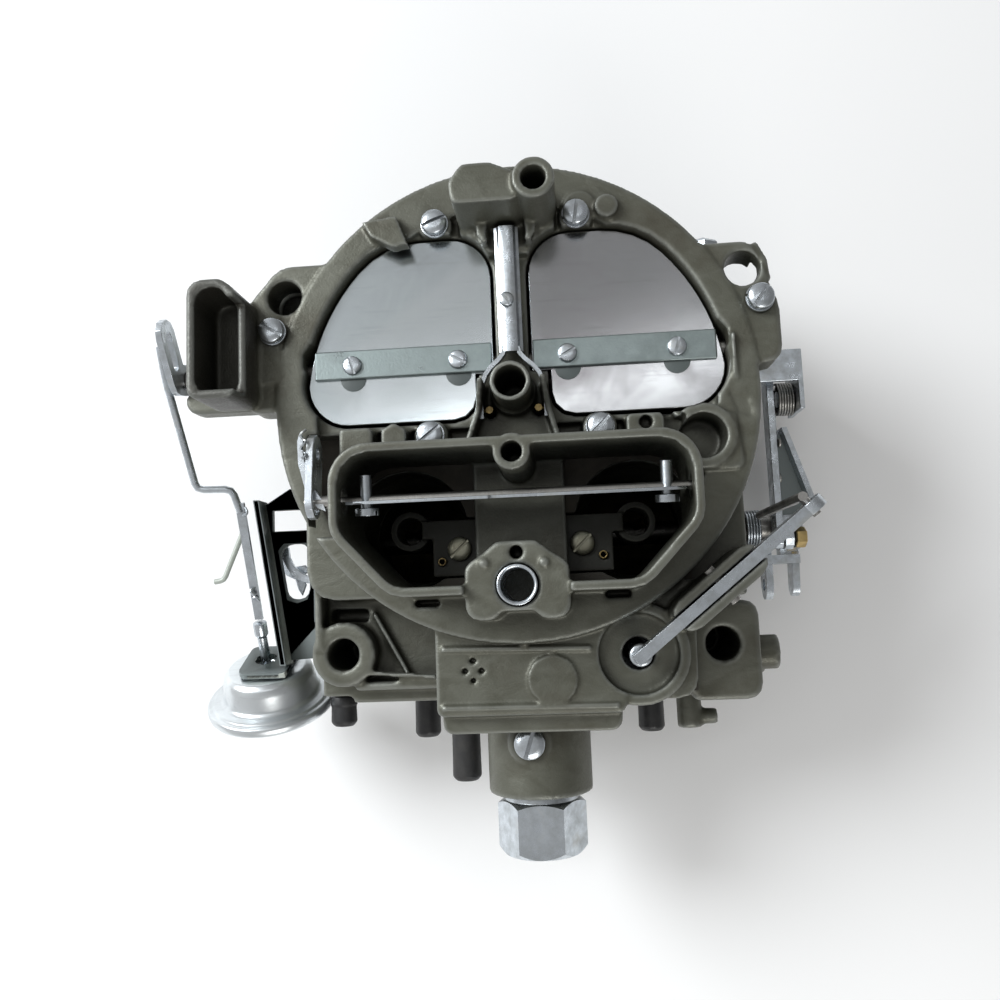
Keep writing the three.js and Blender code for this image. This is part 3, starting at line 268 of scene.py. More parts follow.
def from_bmesh(name, shape, material, sharp_deg=38):
    """An object made from a bmesh, which it uses up."""
    mesh = bpy.data.meshes.new(name)
    bmesh.ops.recalc_face_normals(shape, faces=shape.faces)
    shape.to_mesh(mesh)
    shape.free()
    smoothed(mesh, sharp_deg)
    return new_object(name, mesh, material)


def smoothed(mesh, sharp_deg=None):
    """Smooth shading, apart from edges sharper than the angle."""
    mesh.polygons.foreach_set("use_smooth", [True] * len(mesh.polygons))
    if sharp_deg is not None:
        mesh.set_sharp_from_angle(angle=math.radians(sharp_deg))


def applied(piece):
    """Replaces a piece's mesh with its mesh after modifiers."""
    graph = bpy.context.evaluated_depsgraph_get()
    mesh = bpy.data.meshes.new_from_object(piece.evaluated_get(graph))
    piece.modifiers.clear()
    piece.data = mesh
    return piece


def edged(piece, width_mm, segments, sharp_deg, keep_sharp=False):
    """Rounds a piece's sharp edges and keeps its flats flat in the shading."""
    step = piece.modifiers.new("edges", "BEVEL")
    step.width, step.segments = width_mm * MM, segments
    step.limit_method, step.angle_limit = "ANGLE", math.radians(sharp_deg)
    even = piece.modifiers.new("flats", "WEIGHTED_NORMAL")
    even.weight, even.keep_sharp = 90, keep_sharp
    return applied(piece)


def softened(profile, radius):
    """A turned profile with each corner rounded by three points."""
    points = []
    last = len(profile) - 1
    for i, (r, h) in enumerate(profile):
        here = Vector((r, h))
        if i in (0, last) or r == 0:
            points.append(here)
            continue
        back = Vector(profile[i - 1]) - here
        on = Vector(profile[i + 1]) - here
        reach = min(radius, back.length * 0.45, on.length * 0.45)
        start, end = here + back.normalized() * reach, here + on.normalized() * reach
        points += [start, (start + end + here * 2) / 4, end]
    return points


TURNS = {
    "x": Matrix(((0, 0, 1), (1, 0, 0), (0, 1, 0))),
    "y": Matrix(((0, 1, 0), (0, 0, 1), (1, 0, 0))),
    "z": Matrix.Identity(3),
}


def turn_to(axis):
    """The rotation that takes +Z to an axis, which is a letter or a direction."""
    if isinstance(axis, str):
        return TURNS[axis].to_4x4()
    return Vector((0, 0, 1)).rotation_difference(Vector(axis)).to_matrix().to_4x4()


def lathe(profile, place=(0, 0, 0), axis="z", sides=40, radius=0.3):
    """A body of revolution, in millimetres, from (radius, height) pairs with corners of this radius."""
    shape = bmesh.new()
    rings = []
    for r, h in softened(profile, radius):
        if r < 1e-6:
            rings.append([shape.verts.new((0, 0, h))])
            continue
        rings.append([shape.verts.new((r * math.cos(a), r * math.sin(a), h))
                      for a in (2 * math.pi * k / sides for k in range(sides))])
    for low, high in zip(rings, rings[1:]):
        for k in range(sides):
            j = (k + 1) % sides
            corners = [low[k % len(low)], low[j % len(low)], high[j % len(high)], high[k % len(high)]]
            kept = list(dict.fromkeys(corners))
            if len(kept) > 2:
                shape.faces.new(kept)
    shape.transform(Matrix.Translation(Vector(place)) @ turn_to(axis))
    shape.transform(Matrix.Scale(MM, 4))
    return shape


def block(low, high, bevel=0.0):
    """A box between two corners, in millimetres."""
    shape = bmesh.new()
    bmesh.ops.create_cube(shape, size=1)
    low, high = Vector(low) * MM, Vector(high) * MM
    shape.transform(Matrix.Translation((low + high) / 2) @ Matrix.Diagonal((*(high - low), 1)))
    if bevel:
        bmesh.ops.bevel(shape, geom=shape.edges[:], offset=bevel * MM, segments=2, profile=0.5,
                        affect="EDGES")
    return shape


def slab(outline, low, high):
    """A flat plate from an outline in X and Y, in millimetres."""
    shape = bmesh.new()
    face = shape.faces.new([shape.verts.new((x * MM, y * MM, low * MM)) for x, y in outline])
    grown = bmesh.ops.extrude_face_region(shape, geom=[face])["geom"]
    bmesh.ops.translate(shape, vec=(0, 0, (high - low) * MM),
                        verts=[v for v in grown if isinstance(v, bmesh.types.BMVert)])
    bmesh.ops.recalc_face_normals(shape, faces=shape.faces)
    return shape


def joined(*shapes):
    """One bmesh holding several, which it uses up."""
    whole = bmesh.new()
    for shape in shapes:
        mesh = bpy.data.meshes.new("part")
        shape.to_mesh(mesh)
        shape.free()
        whole.from_mesh(mesh)
        bpy.data.meshes.remove(mesh)
    return whole


def carve(piece, *tools):
    """Cuts each tool's shape out of a piece."""
    for tool in tools:
        cutter = from_bmesh("cutter", tool, ZINC)
        step = piece.modifiers.new("cut", "BOOLEAN")
        step.operation, step.object, step.solver = "DIFFERENCE", cutter, "EXACT"
        applied(piece)
        bpy.data.objects.remove(cutter)
    return piece


def rod(points, radius, sides=12, smooth=True):
    """A round wire with closed ends through points in millimetres, curved or straight between them."""
    curve = bpy.data.curves.new("wire", "CURVE")
    curve.dimensions = "3D"
    curve.bevel_depth, curve.bevel_resolution, curve.use_fill_caps = radius * MM, sides // 4, True
    spline = curve.splines.new("BEZIER" if smooth else "POLY")
    if smooth:
        spline.bezier_points.add(len(points) - 1)
        for knot, point in zip(spline.bezier_points, points):
            knot.co = Vector(point) * MM
            knot.handle_left_type = knot.handle_right_type = "AUTO"
        spline.resolution_u = 8
    else:
        spline.points.add(len(points) - 1)
        for knot, point in zip(spline.points, points):
            knot.co = (*(Vector(point) * MM), 1)
    holder = bpy.data.objects.new("wire", curve)
    bpy.context.scene.collection.objects.link(holder)
    graph = bpy.context.evaluated_depsgraph_get()
    mesh = bpy.data.meshes.new_from_object(holder.evaluated_get(graph))
    bpy.data.objects.remove(holder)
    shape = bmesh.new()
    shape.from_mesh(mesh)
    bmesh.ops.remove_doubles(shape, verts=shape.verts, dist=WELD)
    return shape


# ---------------------------------------------------------------- pieces
DONE = set()


def keep(piece, body):
    """Sets a piece to ride on a body."""
    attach(piece, body)
    return piece


def stand_for(piece, node):
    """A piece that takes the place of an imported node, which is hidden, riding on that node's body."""
    DONE.add(node)
    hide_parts(node)
    return keep(piece, NODE_BODY[node])


def extra(name, body, shape, material):
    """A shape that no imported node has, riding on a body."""
    return keep(from_bmesh(name, shape, material), body)


def replacing(node, shape, material=None, sharp_deg=38):
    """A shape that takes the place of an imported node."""
    material = material or SLOT_LOOKS[NODE_SLOT[node]]
    return stand_for(from_bmesh(node + "_detail", shape, material, sharp_deg), node)


def shape_of(piece):
    """A piece's mesh as a bmesh."""
    shape = bmesh.new()
    shape.from_mesh(piece.data)
    return shape


def node_bmesh(node):
    """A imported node's faces where they stand in the part, with their corners welded."""
    source = frame["nodes"][node]
    shape = shape_of(source)
    shape.transform(source.matrix_world)
    bmesh.ops.remove_doubles(shape, verts=shape.verts, dist=2 * WELD)
    return shape


def with_flats(node):
    """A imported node's shape, with its triangles merged into whole flat faces."""
    shape = node_bmesh(node)
    bmesh.ops.dissolve_limit(shape, angle_limit=math.radians(0.6), verts=shape.verts, edges=shape.edges)
    return shape


def detailed(node, bevel=0.22, material=None):
    """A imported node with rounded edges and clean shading, in its place."""
    piece = from_bmesh(node + "_detail", with_flats(node), material or SLOT_LOOKS[NODE_SLOT[node]])
    if bevel:
        edged(piece, bevel, 2, 32, keep_sharp=True)
    return stand_for(piece, node)


ROUND_SLACK = 0.12
WALL_FACING = 0.8


def true_rounds(points, normals, rounds):
    """Moves the facets of known cylinders out to their true radius. All in millimetres."""
    for axis, (u, v), radius, low, high, sides in rounds:
        across = [k for k in range(3) if k != "xyz".index(axis)]
        along = points[:, "xyz".index(axis)]
        offset = points[:, across] - (u, v)
        distance = np.hypot(offset[:, 0], offset[:, 1]) + 1e-9
        facing = np.abs((normals[:, across] * offset).sum(1) / distance)
        sag = radius * (1 - math.cos(math.pi / sides))
        near = (distance > radius - sag - ROUND_SLACK) & (distance < radius + ROUND_SLACK)
        on_wall = near & (facing > WALL_FACING)
        on_wall &= (along > low) & (along < high)
        scale = np.where(on_wall, radius / distance, 1.0)[:, None]
        points[:, across] = (u, v) + offset * scale


def eased(points, edges):
    """Moves every point halfway to the mean of its neighbours, twice, which rounds the voxel steps off."""
    degree = np.bincount(edges.ravel(), minlength=len(points))[:, None]
    for _ in range(2):
        total = np.zeros_like(points)
        np.add.at(total, edges[:, 0], points[edges[:, 1]])
        np.add.at(total, edges[:, 1], points[edges[:, 0]])
        points += 0.5 * (total / degree - points)


def cast(node, voxel_mm, rounds, added=(), cut=(), material=CASTING):
    """An imported casting with rounded edges, true round walls and cast-in detail, as one dense skin."""
    carved = carve(from_bmesh("carved", node_bmesh(node), CASTING), *cut)
    piece = from_bmesh(node + "_skin", joined(shape_of(carved), *added), CASTING)
    bpy.data.objects.remove(carved)
    step = piece.modifiers.new("skin", "REMESH")
    step.mode, step.voxel_size, step.adaptivity = "VOXEL", voxel_mm * MM, 0.0
    mesh = applied(piece).data
    points = np.empty(len(mesh.vertices) * 3, np.float32)
    mesh.vertices.foreach_get("co", points)
    normals = np.empty(len(mesh.vertices) * 3, np.float32)
    mesh.vertex_normals.foreach_get("vector", normals)
    points = points.reshape(-1, 3) * 1000
    true_rounds(points, normals.reshape(-1, 3), rounds)
    edges = np.empty(len(mesh.edges) * 2, np.int32)
    mesh.edges.foreach_get("vertices", edges)
    eased(points, edges.reshape(-1, 2))
    mesh.vertices.foreach_set("co", (points / 1000).astype(np.float32).ravel())
    mesh.update()
    smoothed(mesh)
    mesh.materials.clear()
    mesh.materials.append(material)
    return stand_for(piece, node)


# ---------------------------------------------------------------- castings
BOTH = (-1, 1)
SEAT = (0, 16)
PUMP = (30, -53)
CENTRE_VENT, REAR_VENT, REAR_HORN_BOSS, FRONT_VENT = (0, 17.6), (8.3, 67.6), (0, -1.5), (0, -34)
SIDE_WELL, INLET, INLET_SCREW = (49.3, 3), (1.5, 50), (-0.5, -77.4)
PRIMARY_X, PRIMARY_Y, SECONDARY_X, SECONDARY_Y = 31.5, -17.5, 31.5, 35.5
FRONT_BOLT_X, FRONT_BOLT_Y, REAR_BOLT_X, REAR_BOLT_Y = 53, -51.5, 62.5, 48

# Each round wall: axis, centre across it, radius, where it starts and ends along it, and its facets.
HORN_ROUNDS = [
    ("z", SEAT, 65.1, 74, 84, 64), ("z", SEAT, 62, 72, 77, 36), ("z", SEAT, 54, 79, 84, 48),
    ("z", PUMP, 13.5, 72, 80, 22), ("z", PUMP, 10.6, 75.5, 80, 20), ("z", PUMP, 4.3, 71, 80, 20),
    ("z", SIDE_WELL, 8.6, 79, 86, 20), ("z", SIDE_WELL, 6, 73, 86, 20), ("z", CENTRE_VENT, 6, 79, 84, 20),
    ("z", CENTRE_VENT, 4, 74, 98, 16), ("z", REAR_VENT, 5.4, 79, 105, 20), ("z", REAR_VENT, 3.2, 82, 105, 16),
    ("z", REAR_HORN_BOSS, 4.6, 79, 104, 18), ("z", REAR_HORN_BOSS, 2.6, 84, 104, 14),
    ("z", FRONT_VENT, 5.3, 83, 101, 20),
    *(("z", (side * REAR_BOLT_X, REAR_BOLT_Y), 4.8, 71, 85, 16) for side in BOTH),
    ("z", (7.1, -59), 6.5, 77, 80, 20),
]
BOWL_ROUNDS = [
    *(("z", (side * SECONDARY_X, SECONDARY_Y), 28.6, 31, 47, 28) for side in BOTH),
    ("z", (-FRONT_BOLT_X, FRONT_BOLT_Y), 9.2, 31, 64, 16),
    ("z", (FRONT_BOLT_X, FRONT_BOLT_Y), 9.2, 31, 71, 16),
    *(("z", (side * FRONT_BOLT_X, FRONT_BOLT_Y), 4.6, 31, 72, 16) for side in BOTH),
    ("y", INLET, 15, -94, -60, 24), ("y", INLET, 10.8, -94, -66, 18), ("z", INLET_SCREW, 6.2, 60, 65, 16),
    *(("z", (side * PRIMARY_X, PRIMARY_Y), 16.6, 58, 72, 24) for side in BOTH),
    ("x", (-55, 57), 4.8, 60, 71, 14), ("y", (46, 44), 3.6, -78, -60, 12),
    ("z", (-REAR_BOLT_X, REAR_BOLT_Y), 4.6, 40, 72, 16),
]
BASE_ROUNDS = [
    *(("z", (side * SECONDARY_X, SECONDARY_Y), 28.6, -1, 31, 32) for side in BOTH),
    *(("z", (side * PRIMARY_X, PRIMARY_Y), 17.45, -1, 31, 28) for side in BOTH),
    *(("x", (y, 18), 7.5, -70, 70, 16) for y in (PRIMARY_Y, SECONDARY_Y)),
]


def ring(place, inner, outer, low, high, sides=40):
    """An upright tube around an x, y place."""
    profile = [(inner, low), (outer, low), (outer, high), (inner, high), (inner, low)]
    return lathe(profile, (*place, 0), "z", sides, 0.1)


def wall(start, end, thick, low, high, end_high=None):
    """An upright wall between two places, which may slope down towards its end."""
    shape = bmesh.new()
    along = Vector((end[0] - start[0], end[1] - start[1], 0)).normalized()
    across = Vector((-along.y, along.x, 0)) * thick / 2
    corners = []
    for place, top in ((start, high), (end, end_high or high)):
        for side in (-1, 1):
            foot = Vector((*place, low)) + across * side
            corners.append([shape.verts.new(foot * MM), shape.verts.new(Vector((foot.x, foot.y, top)) * MM)])
    a, b, d, c = corners
    for loop in ((a[0], a[1], b[1], b[0]), (b[0], b[1], c[1], c[0]), (c[0], c[1], d[1], d[0]),
                 (d[0], d[1], a[1], a[0]), (a[1], d[1], c[1], b[1]), (a[0], b[0], c[0], d[0])):
        shape.faces.new(loop)
    bmesh.ops.recalc_face_normals(shape, faces=shape.faces)
    return shape


def locating_pip(x, y):
    """A small domed pip on top of the front vent's boss."""
    return lathe([(0, 99.4), (1.1, 99.4), (1.1, 100.8), (0, 101)], (x, y, 0), sides=16)


LIFTING_TAB = [(-39.5, 66.3), (-29.8, 67.4), (-26.9, 59.4), (-31, 58.6), (-34, 60.2), (-37, 62)]
SEAT_NOTCH = [(56, 15.5), (62, 13), (63.2, 7), (58.5, 8.5)]
RIB = 1.5
HORN_ADDED = [
    slab(LIFTING_TAB, 83, 87.5),
    # ribs beside the centre vent
    wall((-8, 20), (-9.2, 12.5), RIB, 79.5, 93, 88), wall((-9.2, 12.5), (-13, 2.5), RIB, 79.5, 88, 87),
    wall((8, 20), (9.2, 12.5), RIB, 79.5, 93, 88), wall((9.2, 12.5), (12, 2.5), RIB, 79.5, 88, 87),
    # rib on the seat, and the closed side of the rear ear
    wall((58.4, 30), (58.8, 18), 1.1, 83, 85.5, 84),
    wall((65.8, 55), (68.1, 50.2), 2.2, 77, 82.4), wall((68.1, 50.8), (68.9, 44.5), 2.2, 77, 82.4),
    # edges of the front cover, and the rib beside the pump lever
    wall((-22, -50.2), (17.3, -51), 1.0, 78, 79.9), wall((-22.3, -65.6), (24, -66), 1.2, 78, 80),
    wall((44.5, -30), (53, -20), 1.2, 74, 79),
    locating_pip(-8, -28.6), locating_pip(6.8, -28.8),
    lathe([(0, 83), (4.4, 83), (4.4, 84.2), (0, 84.2)], (20, 67.8, 0), sides=24),
]
HORN_CUT = [
    # slots in the front wall's foot
    block((-28.3, -38.7, 79), (-21.6, -36.8, 90)), block((21.7, -38.1, 79), (28.6, -36.1, 90)),
    # grooves around the round bosses
    ring((7.1, -59), 6.5, 7.2, 78.7, 82),
    ring((-9.6, -38.8), 1.9, 2.2, 99.8, 102), ring((9.6, -38.8), 1.9, 2.2, 99.8, 102),
    ring((-36, 53), 0, 1.2, 82.9, 90), slab(SEAT_NOTCH, 83, 90),
    lathe([(0, 77), (1.9, 77), (1.9, 90), (0, 90)], (40.8, 9.2, 0), sides=20, radius=0.1),
    # the centre vent's slimmer upper end
    ring((-18, -47), 2.2, 2.6, 78.6, 82), ring(CENTRE_VENT, 5.2, 7.5, 84, 99),
]
BOWL_ADDED = [
    wall((-46, -57), (-26, -58.5), 1.2, 60, 63), wall((-45, -40), (-33, -62), 1.3, 55, 58.5),
    block((-52, -66, 52), (-26, -60.5, 56), 0.5), block((58, -68, 36), (66, -60, 48), 0.8),
    lathe([(0, -3), (4.2, -3), (4.2, 3), (0, 3)], (66, -58, 42), "x", 24, 0.6),
]
BOWL_CUT = [ring((-37, -48), 2.4, 2.8, 55.4, 58)]

cast("air_horn", 0.55, HORN_ROUNDS, HORN_ADDED, HORN_CUT)
cast("float_bowl", 0.7, BOWL_ROUNDS, BOWL_ADDED, BOWL_CUT)
cast("throttle_body", 0.8, BASE_ROUNDS)
for side, x in (("left", -PRIMARY_X), ("right", PRIMARY_X)):
    walls = [("z", (x, PRIMARY_Y), 5.6, 55, 70, 18), ("z", (x, PRIMARY_Y), 3.9, 55, 70, 16)]
    # The boosters take the near-black casting, painted shade inside the bores.
    cast("booster_" + side, 0.35, walls, material=SHADED_CASTING)


# ---------------------------------------------------------------- screws
def screw_head(name, place, under, head, tall, turn, shank, tip, material=ZINC, slot_width=0.9):
    """A slotted screw: a crowned head of this radius and height, on a shank down to its tip."""
    x, y = place
    crown = under + tall
    body = lathe([(0, tip), (shank, tip), (shank, under), (head, under), (head, crown - tall * 0.3),
                  (head * 0.6, crown - tall * 0.05), (0, crown)], (x, y, 0), sides=36, radius=0.4)
    piece = from_bmesh(name, body, material)
    slot = block((-head - 1, -slot_width / 2, crown - tall * 0.45), (head + 1, slot_width / 2, crown + 1))
    slot.transform(Matrix.Translation((x * MM, y * MM, 0)) @ Matrix.Rotation(turn, 4, "Z"))
    smoothed(carve(piece, slot).data, 40)
    return piece


def washered(piece, place, shank, washer, low, high, turn):
    """Adds a split spring washer under a screw's head."""
    x, y = place
    loop = from_bmesh("loop", ring(place, shank, washer, low, high), ZINC)
    gap = block((1, -0.35, low - 0.5), (washer + 1, 0.35, high + 0.5))
    gap.transform(Matrix.Translation((x * MM, y * MM, 0)) @ Matrix.Rotation(turn, 4, "Z"))
    carve(loop, gap)
    both = joined(shape_of(piece), shape_of(loop))
    name = piece.name
    for old in (loop, piece):
        bpy.data.objects.remove(old)
    return from_bmesh(name, both, ZINC, 40)


# Each air horn screw: where it is, and how its slot is turned.
HORN_SCREWS = [((-19.7, 65.5), 0.35), ((18.9, 65.5), 1.4), ((66.2, 39), 0.9), ((-65.5, 38), -0.5),
               ((-22.6, 6.9), 0.65), ((22.6, 6.9), 0.75)]
for i, (place, turn) in enumerate(HORN_SCREWS):
    node = f"air_horn_screw_{i + 1}"
    head = screw_head(node + "_detail", place, 84.7, 3.5, 2.6, turn, 1.9, 59)
    stand_for(washered(head, place, 2.0, 3.8, 83.8, 84.6, turn + 2), node)

inlet_low, inlet_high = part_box("inlet_boss_screw")
stand_for(screw_head("inlet_boss_screw_detail", INLET_SCREW, inlet_high[2] / MM - 3.0, 4.3, 3.0, 1.25, 2.2,
                     inlet_low[2] / MM, slot_width=1.1), "inlet_boss_screw")

for name, place in (("booster_screw_left", (-17.4, -23.1)), ("booster_screw_right", (16.6, -22.9))):
    keep(screw_head(name, place, 70.7, 3.4, 1.7, 0.75, 1.6, 68.5, PALE_BRASS, 0.8), "chassis")
for name, place in (("feed_tube_left", (-22.4, -26.5)), ("feed_tube_right", (22.2, -26.3))):
    extra(name, "chassis", ring(place, 0.75, 1.15, 68, 71.6, 24), BRASS)
for name, x in (("nozzle_left", -PRIMARY_X), ("nozzle_right", PRIMARY_X)):
    profile = [(0.8, 0), (1.4, 0), (1.4, 5.2), (0.8, 5.2), (0.8, 0)]
    extra(name, "chassis", lathe(profile, (x + 0.6, -17.9, 58.5), (0.55, 0.15, 0.8), 20, 0.2), BRASS)


# ---------------------------------------------------------------- caps, plugs and tubes
def cap_shape(node):
    """A push-on cap with a flared lip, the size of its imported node."""
    low, high = (Vector(corner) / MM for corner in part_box(node))
    x, z, r = (low.x + high.x) / 2, (low.z + high.z) / 2, (high.x - low.x) / 2
    profile = [(0, low.y), (r - 1.3, low.y), (r - 0.15, low.y + 1.3), (r - 0.3, high.y - 3),
               (r, high.y - 2.4), (r, high.y), (0, high.y)]
    return lathe(profile, (x, 0, z), "y", 36, 0.5)


for node in ("port_cap", "corner_cap", "mixture_cap_left", "mixture_cap_right"):
    replacing(node, cap_shape(node))


def inlet_nut():
    """A hexagon nut with one flat up, chamfered corners and an open bore."""
    x, z = INLET
    half, front, rear = 11.1, -110, -94.9
    reach = half / math.cos(math.pi / 6) + 0.1
    body = [(0, front), (11, front), (reach, front + 1.8), (reach, rear - 1.5), (11.2, rear - 0.3),
            (10.7, rear), (10.7, -93.3), (9, -93.2), (0, -93.2)]
    piece = from_bmesh("fuel_inlet_nut_detail", lathe(body, (x, 0, z), "y", 96, 0.15), ZINC)
    for k in range(6):
        side = block((-20, front - 2, half), (20, rear, half + 8))
        side.transform(Matrix.Translation((x * MM, 0, z * MM)) @ Matrix.Rotation(k * math.pi / 3, 4, "Y"))
        carve(piece, side)
    bore = [(0, -112), (7.4, -112), (5.6, -109.3), (5.6, -99), (3, -98), (3, -92), (0, -92)]
    carve(piece, lathe(bore, (x, 0, z), "y", 48, 0.1))
    return edged(piece, 0.3, 2, 25)


stand_for(inlet_nut(), "fuel_inlet_nut")

FRONT_TUBE = [(4.1, 84.3), (5, 84.3), (5, 100.2), (5.0, 100.9), (4.6, 101), (4.1, 100.6), (4.1, 84.3)]
replacing("front_tube", lathe(FRONT_TUBE, (*FRONT_VENT, 0), sides=48, radius=0.15))

HEX_PLUG = [(0, 62.2), (4.1, 62.2), (4.85, 63), (4.85, 69.6), (4.1, 70.4), (2.6, 70.4), (2.4, 71.2),
            (0, 71.2)]
replacing("rear_hex_plug", lathe(HEX_PLUG, (58.5, 0, 45), "y", 6, 0.12))

CAN_AXIS, CAN_PLACE = (0, 0.8988, 0.4384), (-82, -61, 41)
CAN_PROFILE = [(0, -9.4), (9, -9), (17, -7.4), (18.2, -6.6), (19.5, -6.4), (19.8, -5.6), (19.8, -4.2),
               (19.4, -3.5), (18.2, -3.4), (17.6, -2.9), (15.4, -2.5), (14.4, -1.6), (13.8, 3.4), (13.2, 5.4),
               (11.8, 6.6), (3.2, 6.8), (3.2, -7), (0, -7)]
replacing("vacuum_can", lathe(CAN_PROFILE, CAN_PLACE, CAN_AXIS, 96, 0.5), CAN_ZINC, 60)

PLUNGER = [(0, 46), (6.6, 46), (7.3, 47.4), (7.3, 52), (3.4, 52.4), (2, 53.4), (2, 82.8), (2.9, 82.8),
           (3, 84), (2.4, 84.4), (0, 84.4)]
replacing("pump_plunger", lathe(PLUNGER, (*PUMP, 0), sides=36))


# ---------------------------------------------------------------- air valves
VALVE_SCREWS = ((14.9, 0.5), (44.2, 1.3))
VALVE_SCREW_Y, RELIEF_Y = 28, 24.6


def air_valve(side, sign):
    """A stamped plate with its own node's outline, a clamping strip and two slotted screws."""
    node = "air_valve_" + side
    shape = with_flats(node)
    under = max((f for f in shape.faces if f.normal.z < -0.9), key=lambda f: f.calc_area())
    outline = [(v.co.x / MM, v.co.y / MM) for v in under.verts]
    shape.free()
    # Each plate takes its painted light or painted shade colour by its side.
    plate = from_bmesh(node + "_detail", slab(outline, 78.7, 80), VALVE_LIT_AND_SHADED_LOOKS[side])
    ends = sorted((sign * 5.6, sign * 54.8))
    strip = from_bmesh(f"air_valve_band_{side}", block((ends[0], 24.3, 79.6), (ends[1], 32.4, 81.2)), BAND)
    edged(plate, 0.25, 3, 40)
    edged(strip, 0.5, 3, 40)
    stand_for(plate, node)
    keep(strip, "air_valves")
    for x, turn in VALVE_SCREWS:
        name = f"air_valve_screw_{side}_{int(x)}"
        place = (sign * x, VALVE_SCREW_Y)
        head = screw_head(name, place, 81.2, 2.6, 1.35, turn * sign, 1.2, 80.4, slot_width=0.75)
        keep(head, "air_valves")


air_valve("left", -1)
air_valve("right", 1)
# Thin black discs under the valve screws: painted shade in the notches along the strip's lower edge.
for side in BOTH:
    for x, _ in VALVE_SCREWS:
        profile = [(0, 80.0), (3.6, 80.0), (3.6, 80.3), (0, 80.35)]
        shade = lathe(profile, (side * x, RELIEF_Y, 0), sides=32, radius=0.1)
        extra(f"air_valve_relief_{side + 1}_{int(x)}", "air_valves", shade, BLACKED)

HANGER_FRAME = Matrix.Translation((0, 0.060, 0.087)) @ Matrix.Rotation(math.radians(6), 4, "X")


def strip_along(points, thick, low, high):
    """A flat strip, standing on its edge, that follows a path of x, y places."""
    places = [Vector((*point, 0)) for point in points]
    left, right = [], []
    for k, here in enumerate(places):
        along = (places[min(k + 1, len(places) - 1)] - places[max(k - 1, 0)]).normalized()
        across = Vector((-along.y, along.x, 0)) * thick / 2
        left.append(tuple((here + across).xy))
        right.append(tuple((here - across).xy))
    return slab(left + right[::-1], low, high)


def hanger():
    """The rod hanger: a rounded channel that splits into two arms around the centre vent."""
    half = [(3.2, -1.2), (3.2, 0.9), (2.5, 1.2), (2.35, 1.9), (1.9, 2.6), (1.1, 2.9), (0.01, 3.0)]
    section = half + [(-x, z) for x, z in reversed(half)]
    channel = slab(section, -1.6, 31.8)
    channel.transform(Matrix.Rotation(math.pi / 2, 4, "X"))
    arm = [(1.7, -30.6), (2.2, -32.2), (3.6, -33.9), (5.6, -35.6), (7.2, -37.6), (8.2, -40), (8.7, -43),
           (8.7, -49.4)]
    arms = [strip_along([(side * x, y) for x, y in arm], 1.1, -1.2, 2.4) for side in BOTH]
    whole = joined(channel, *arms)
    whole.transform(HANGER_FRAME)
    return whole


replacing("metering_rod_hanger", hanger(), sharp_deg=28)
hanger_screw = screw_head("hanger_screw", (-0.6, 41.6), 88.0, 2.0, 1.5, 2.2, 1.2, 86.5, slot_width=0.7)
keep(hanger_screw, "rod_hanger")


# ---------------------------------------------------------------- wire work and springs
STEPS_A_TURN = 16


def coil(start, end, radius, turns, wire):
    """A coil spring along X, from one end of its axis to the other."""
    points = []
    steps = int(turns * STEPS_A_TURN)
    for k in range(steps + 1):
        angle = 2 * math.pi * turns * k / steps
        along = start[0] + (end[0] - start[0]) * k / steps
        points.append((along, start[1] + radius * math.cos(angle), start[2] + radius * math.sin(angle)))
    return rod(points, wire, smooth=False)


replacing("throttle_return_spring", coil((81.4, 23, 28), (86.0, 23, 28), 4.9, 5.5, 0.46))
extra("shaft_spring", "chassis", coil((70.6, -17.5, 18), (75.2, -17.5, 18), 5.6, 5, 0.45), ZINC)


def bent(points, radius):
    """A polyline with each bend rounded."""
    places = [Vector(point) for point in points]
    out = [places[0]]
    for before, here, after in zip(places, places[1:], places[2:]):
        reach = min(radius, (before - here).length * 0.45, (after - here).length * 0.45)
        start, end = here + (before - here).normalized() * reach, here + (after - here).normalized() * reach
        out += [start, (start + here * 2 + end) / 4, end]
    return out + [places[-1]]


def vacuum_link():
    """A bent wire, a flat blade that slopes down from it, and the can's stem."""
    route = [(-97.8, 36, 84), (-97.6, 27, 80.5), (-94.8, -2.2, 66.4), (-84.6, -2.4, 65.4), (-83, -9, 63)]
    wire = rod(bent(route, 2.0), 1.1, smooth=False)
    blade = slab([(-84.2, -6.4), (-81.6, -6.4), (-80.8, -43), (-83.2, -43)], -0.5, 0.5)
    hinge_y, hinge_z, slope = -6.4 * MM, 63.8 * MM, math.radians(21)
    turned = Matrix.Rotation(slope, 4, "X") @ Matrix.Translation((0, -hinge_y, 0))
    blade.transform(Matrix.Translation((0, hinge_y, hinge_z)) @ turned)
    stem = lathe([(0, 2), (1.5, 2), (1.5, 17), (2.1, 17.5), (2.1, 21.5), (0, 22)], CAN_PLACE, CAN_AXIS, 28)
    return joined(wire, blade, stem)


replacing("vacuum_link", vacuum_link())
LINK_CLIPS = [((-82.2, -10, 63), 0.5), ((-80.9, -35, 53.6), 2.2), ((-81.8, -31, 54.6), 4.0)]
for k, ((x, y, z), turn) in enumerate(LINK_CLIPS):
    middle = (x + 1.6 * math.cos(turn), y + 1.2 * math.sin(turn), z + 0.8)
    end = (x + 2.0 * math.cos(turn + 0.7), y + 2.4 * math.sin(turn + 0.7), z + 0.4)
    extra(f"link_clip_{k + 1}", "vacuum_link", rod([(x, y, z), middle, end], 0.45, 8), ZINC)


# ---------------------------------------------------------------- choke
def lever_wire():
    """A small coil of wire along the choke lever's outer end."""
    turn, pitch, radius = 1.45, 0.75, 0.7
    return rod([(-53.4 + radius * math.cos(turn * k), 7.6 - pitch * k, 97.4 + radius * math.sin(turn * k))
                for k in range(11)], 0.34, 8)


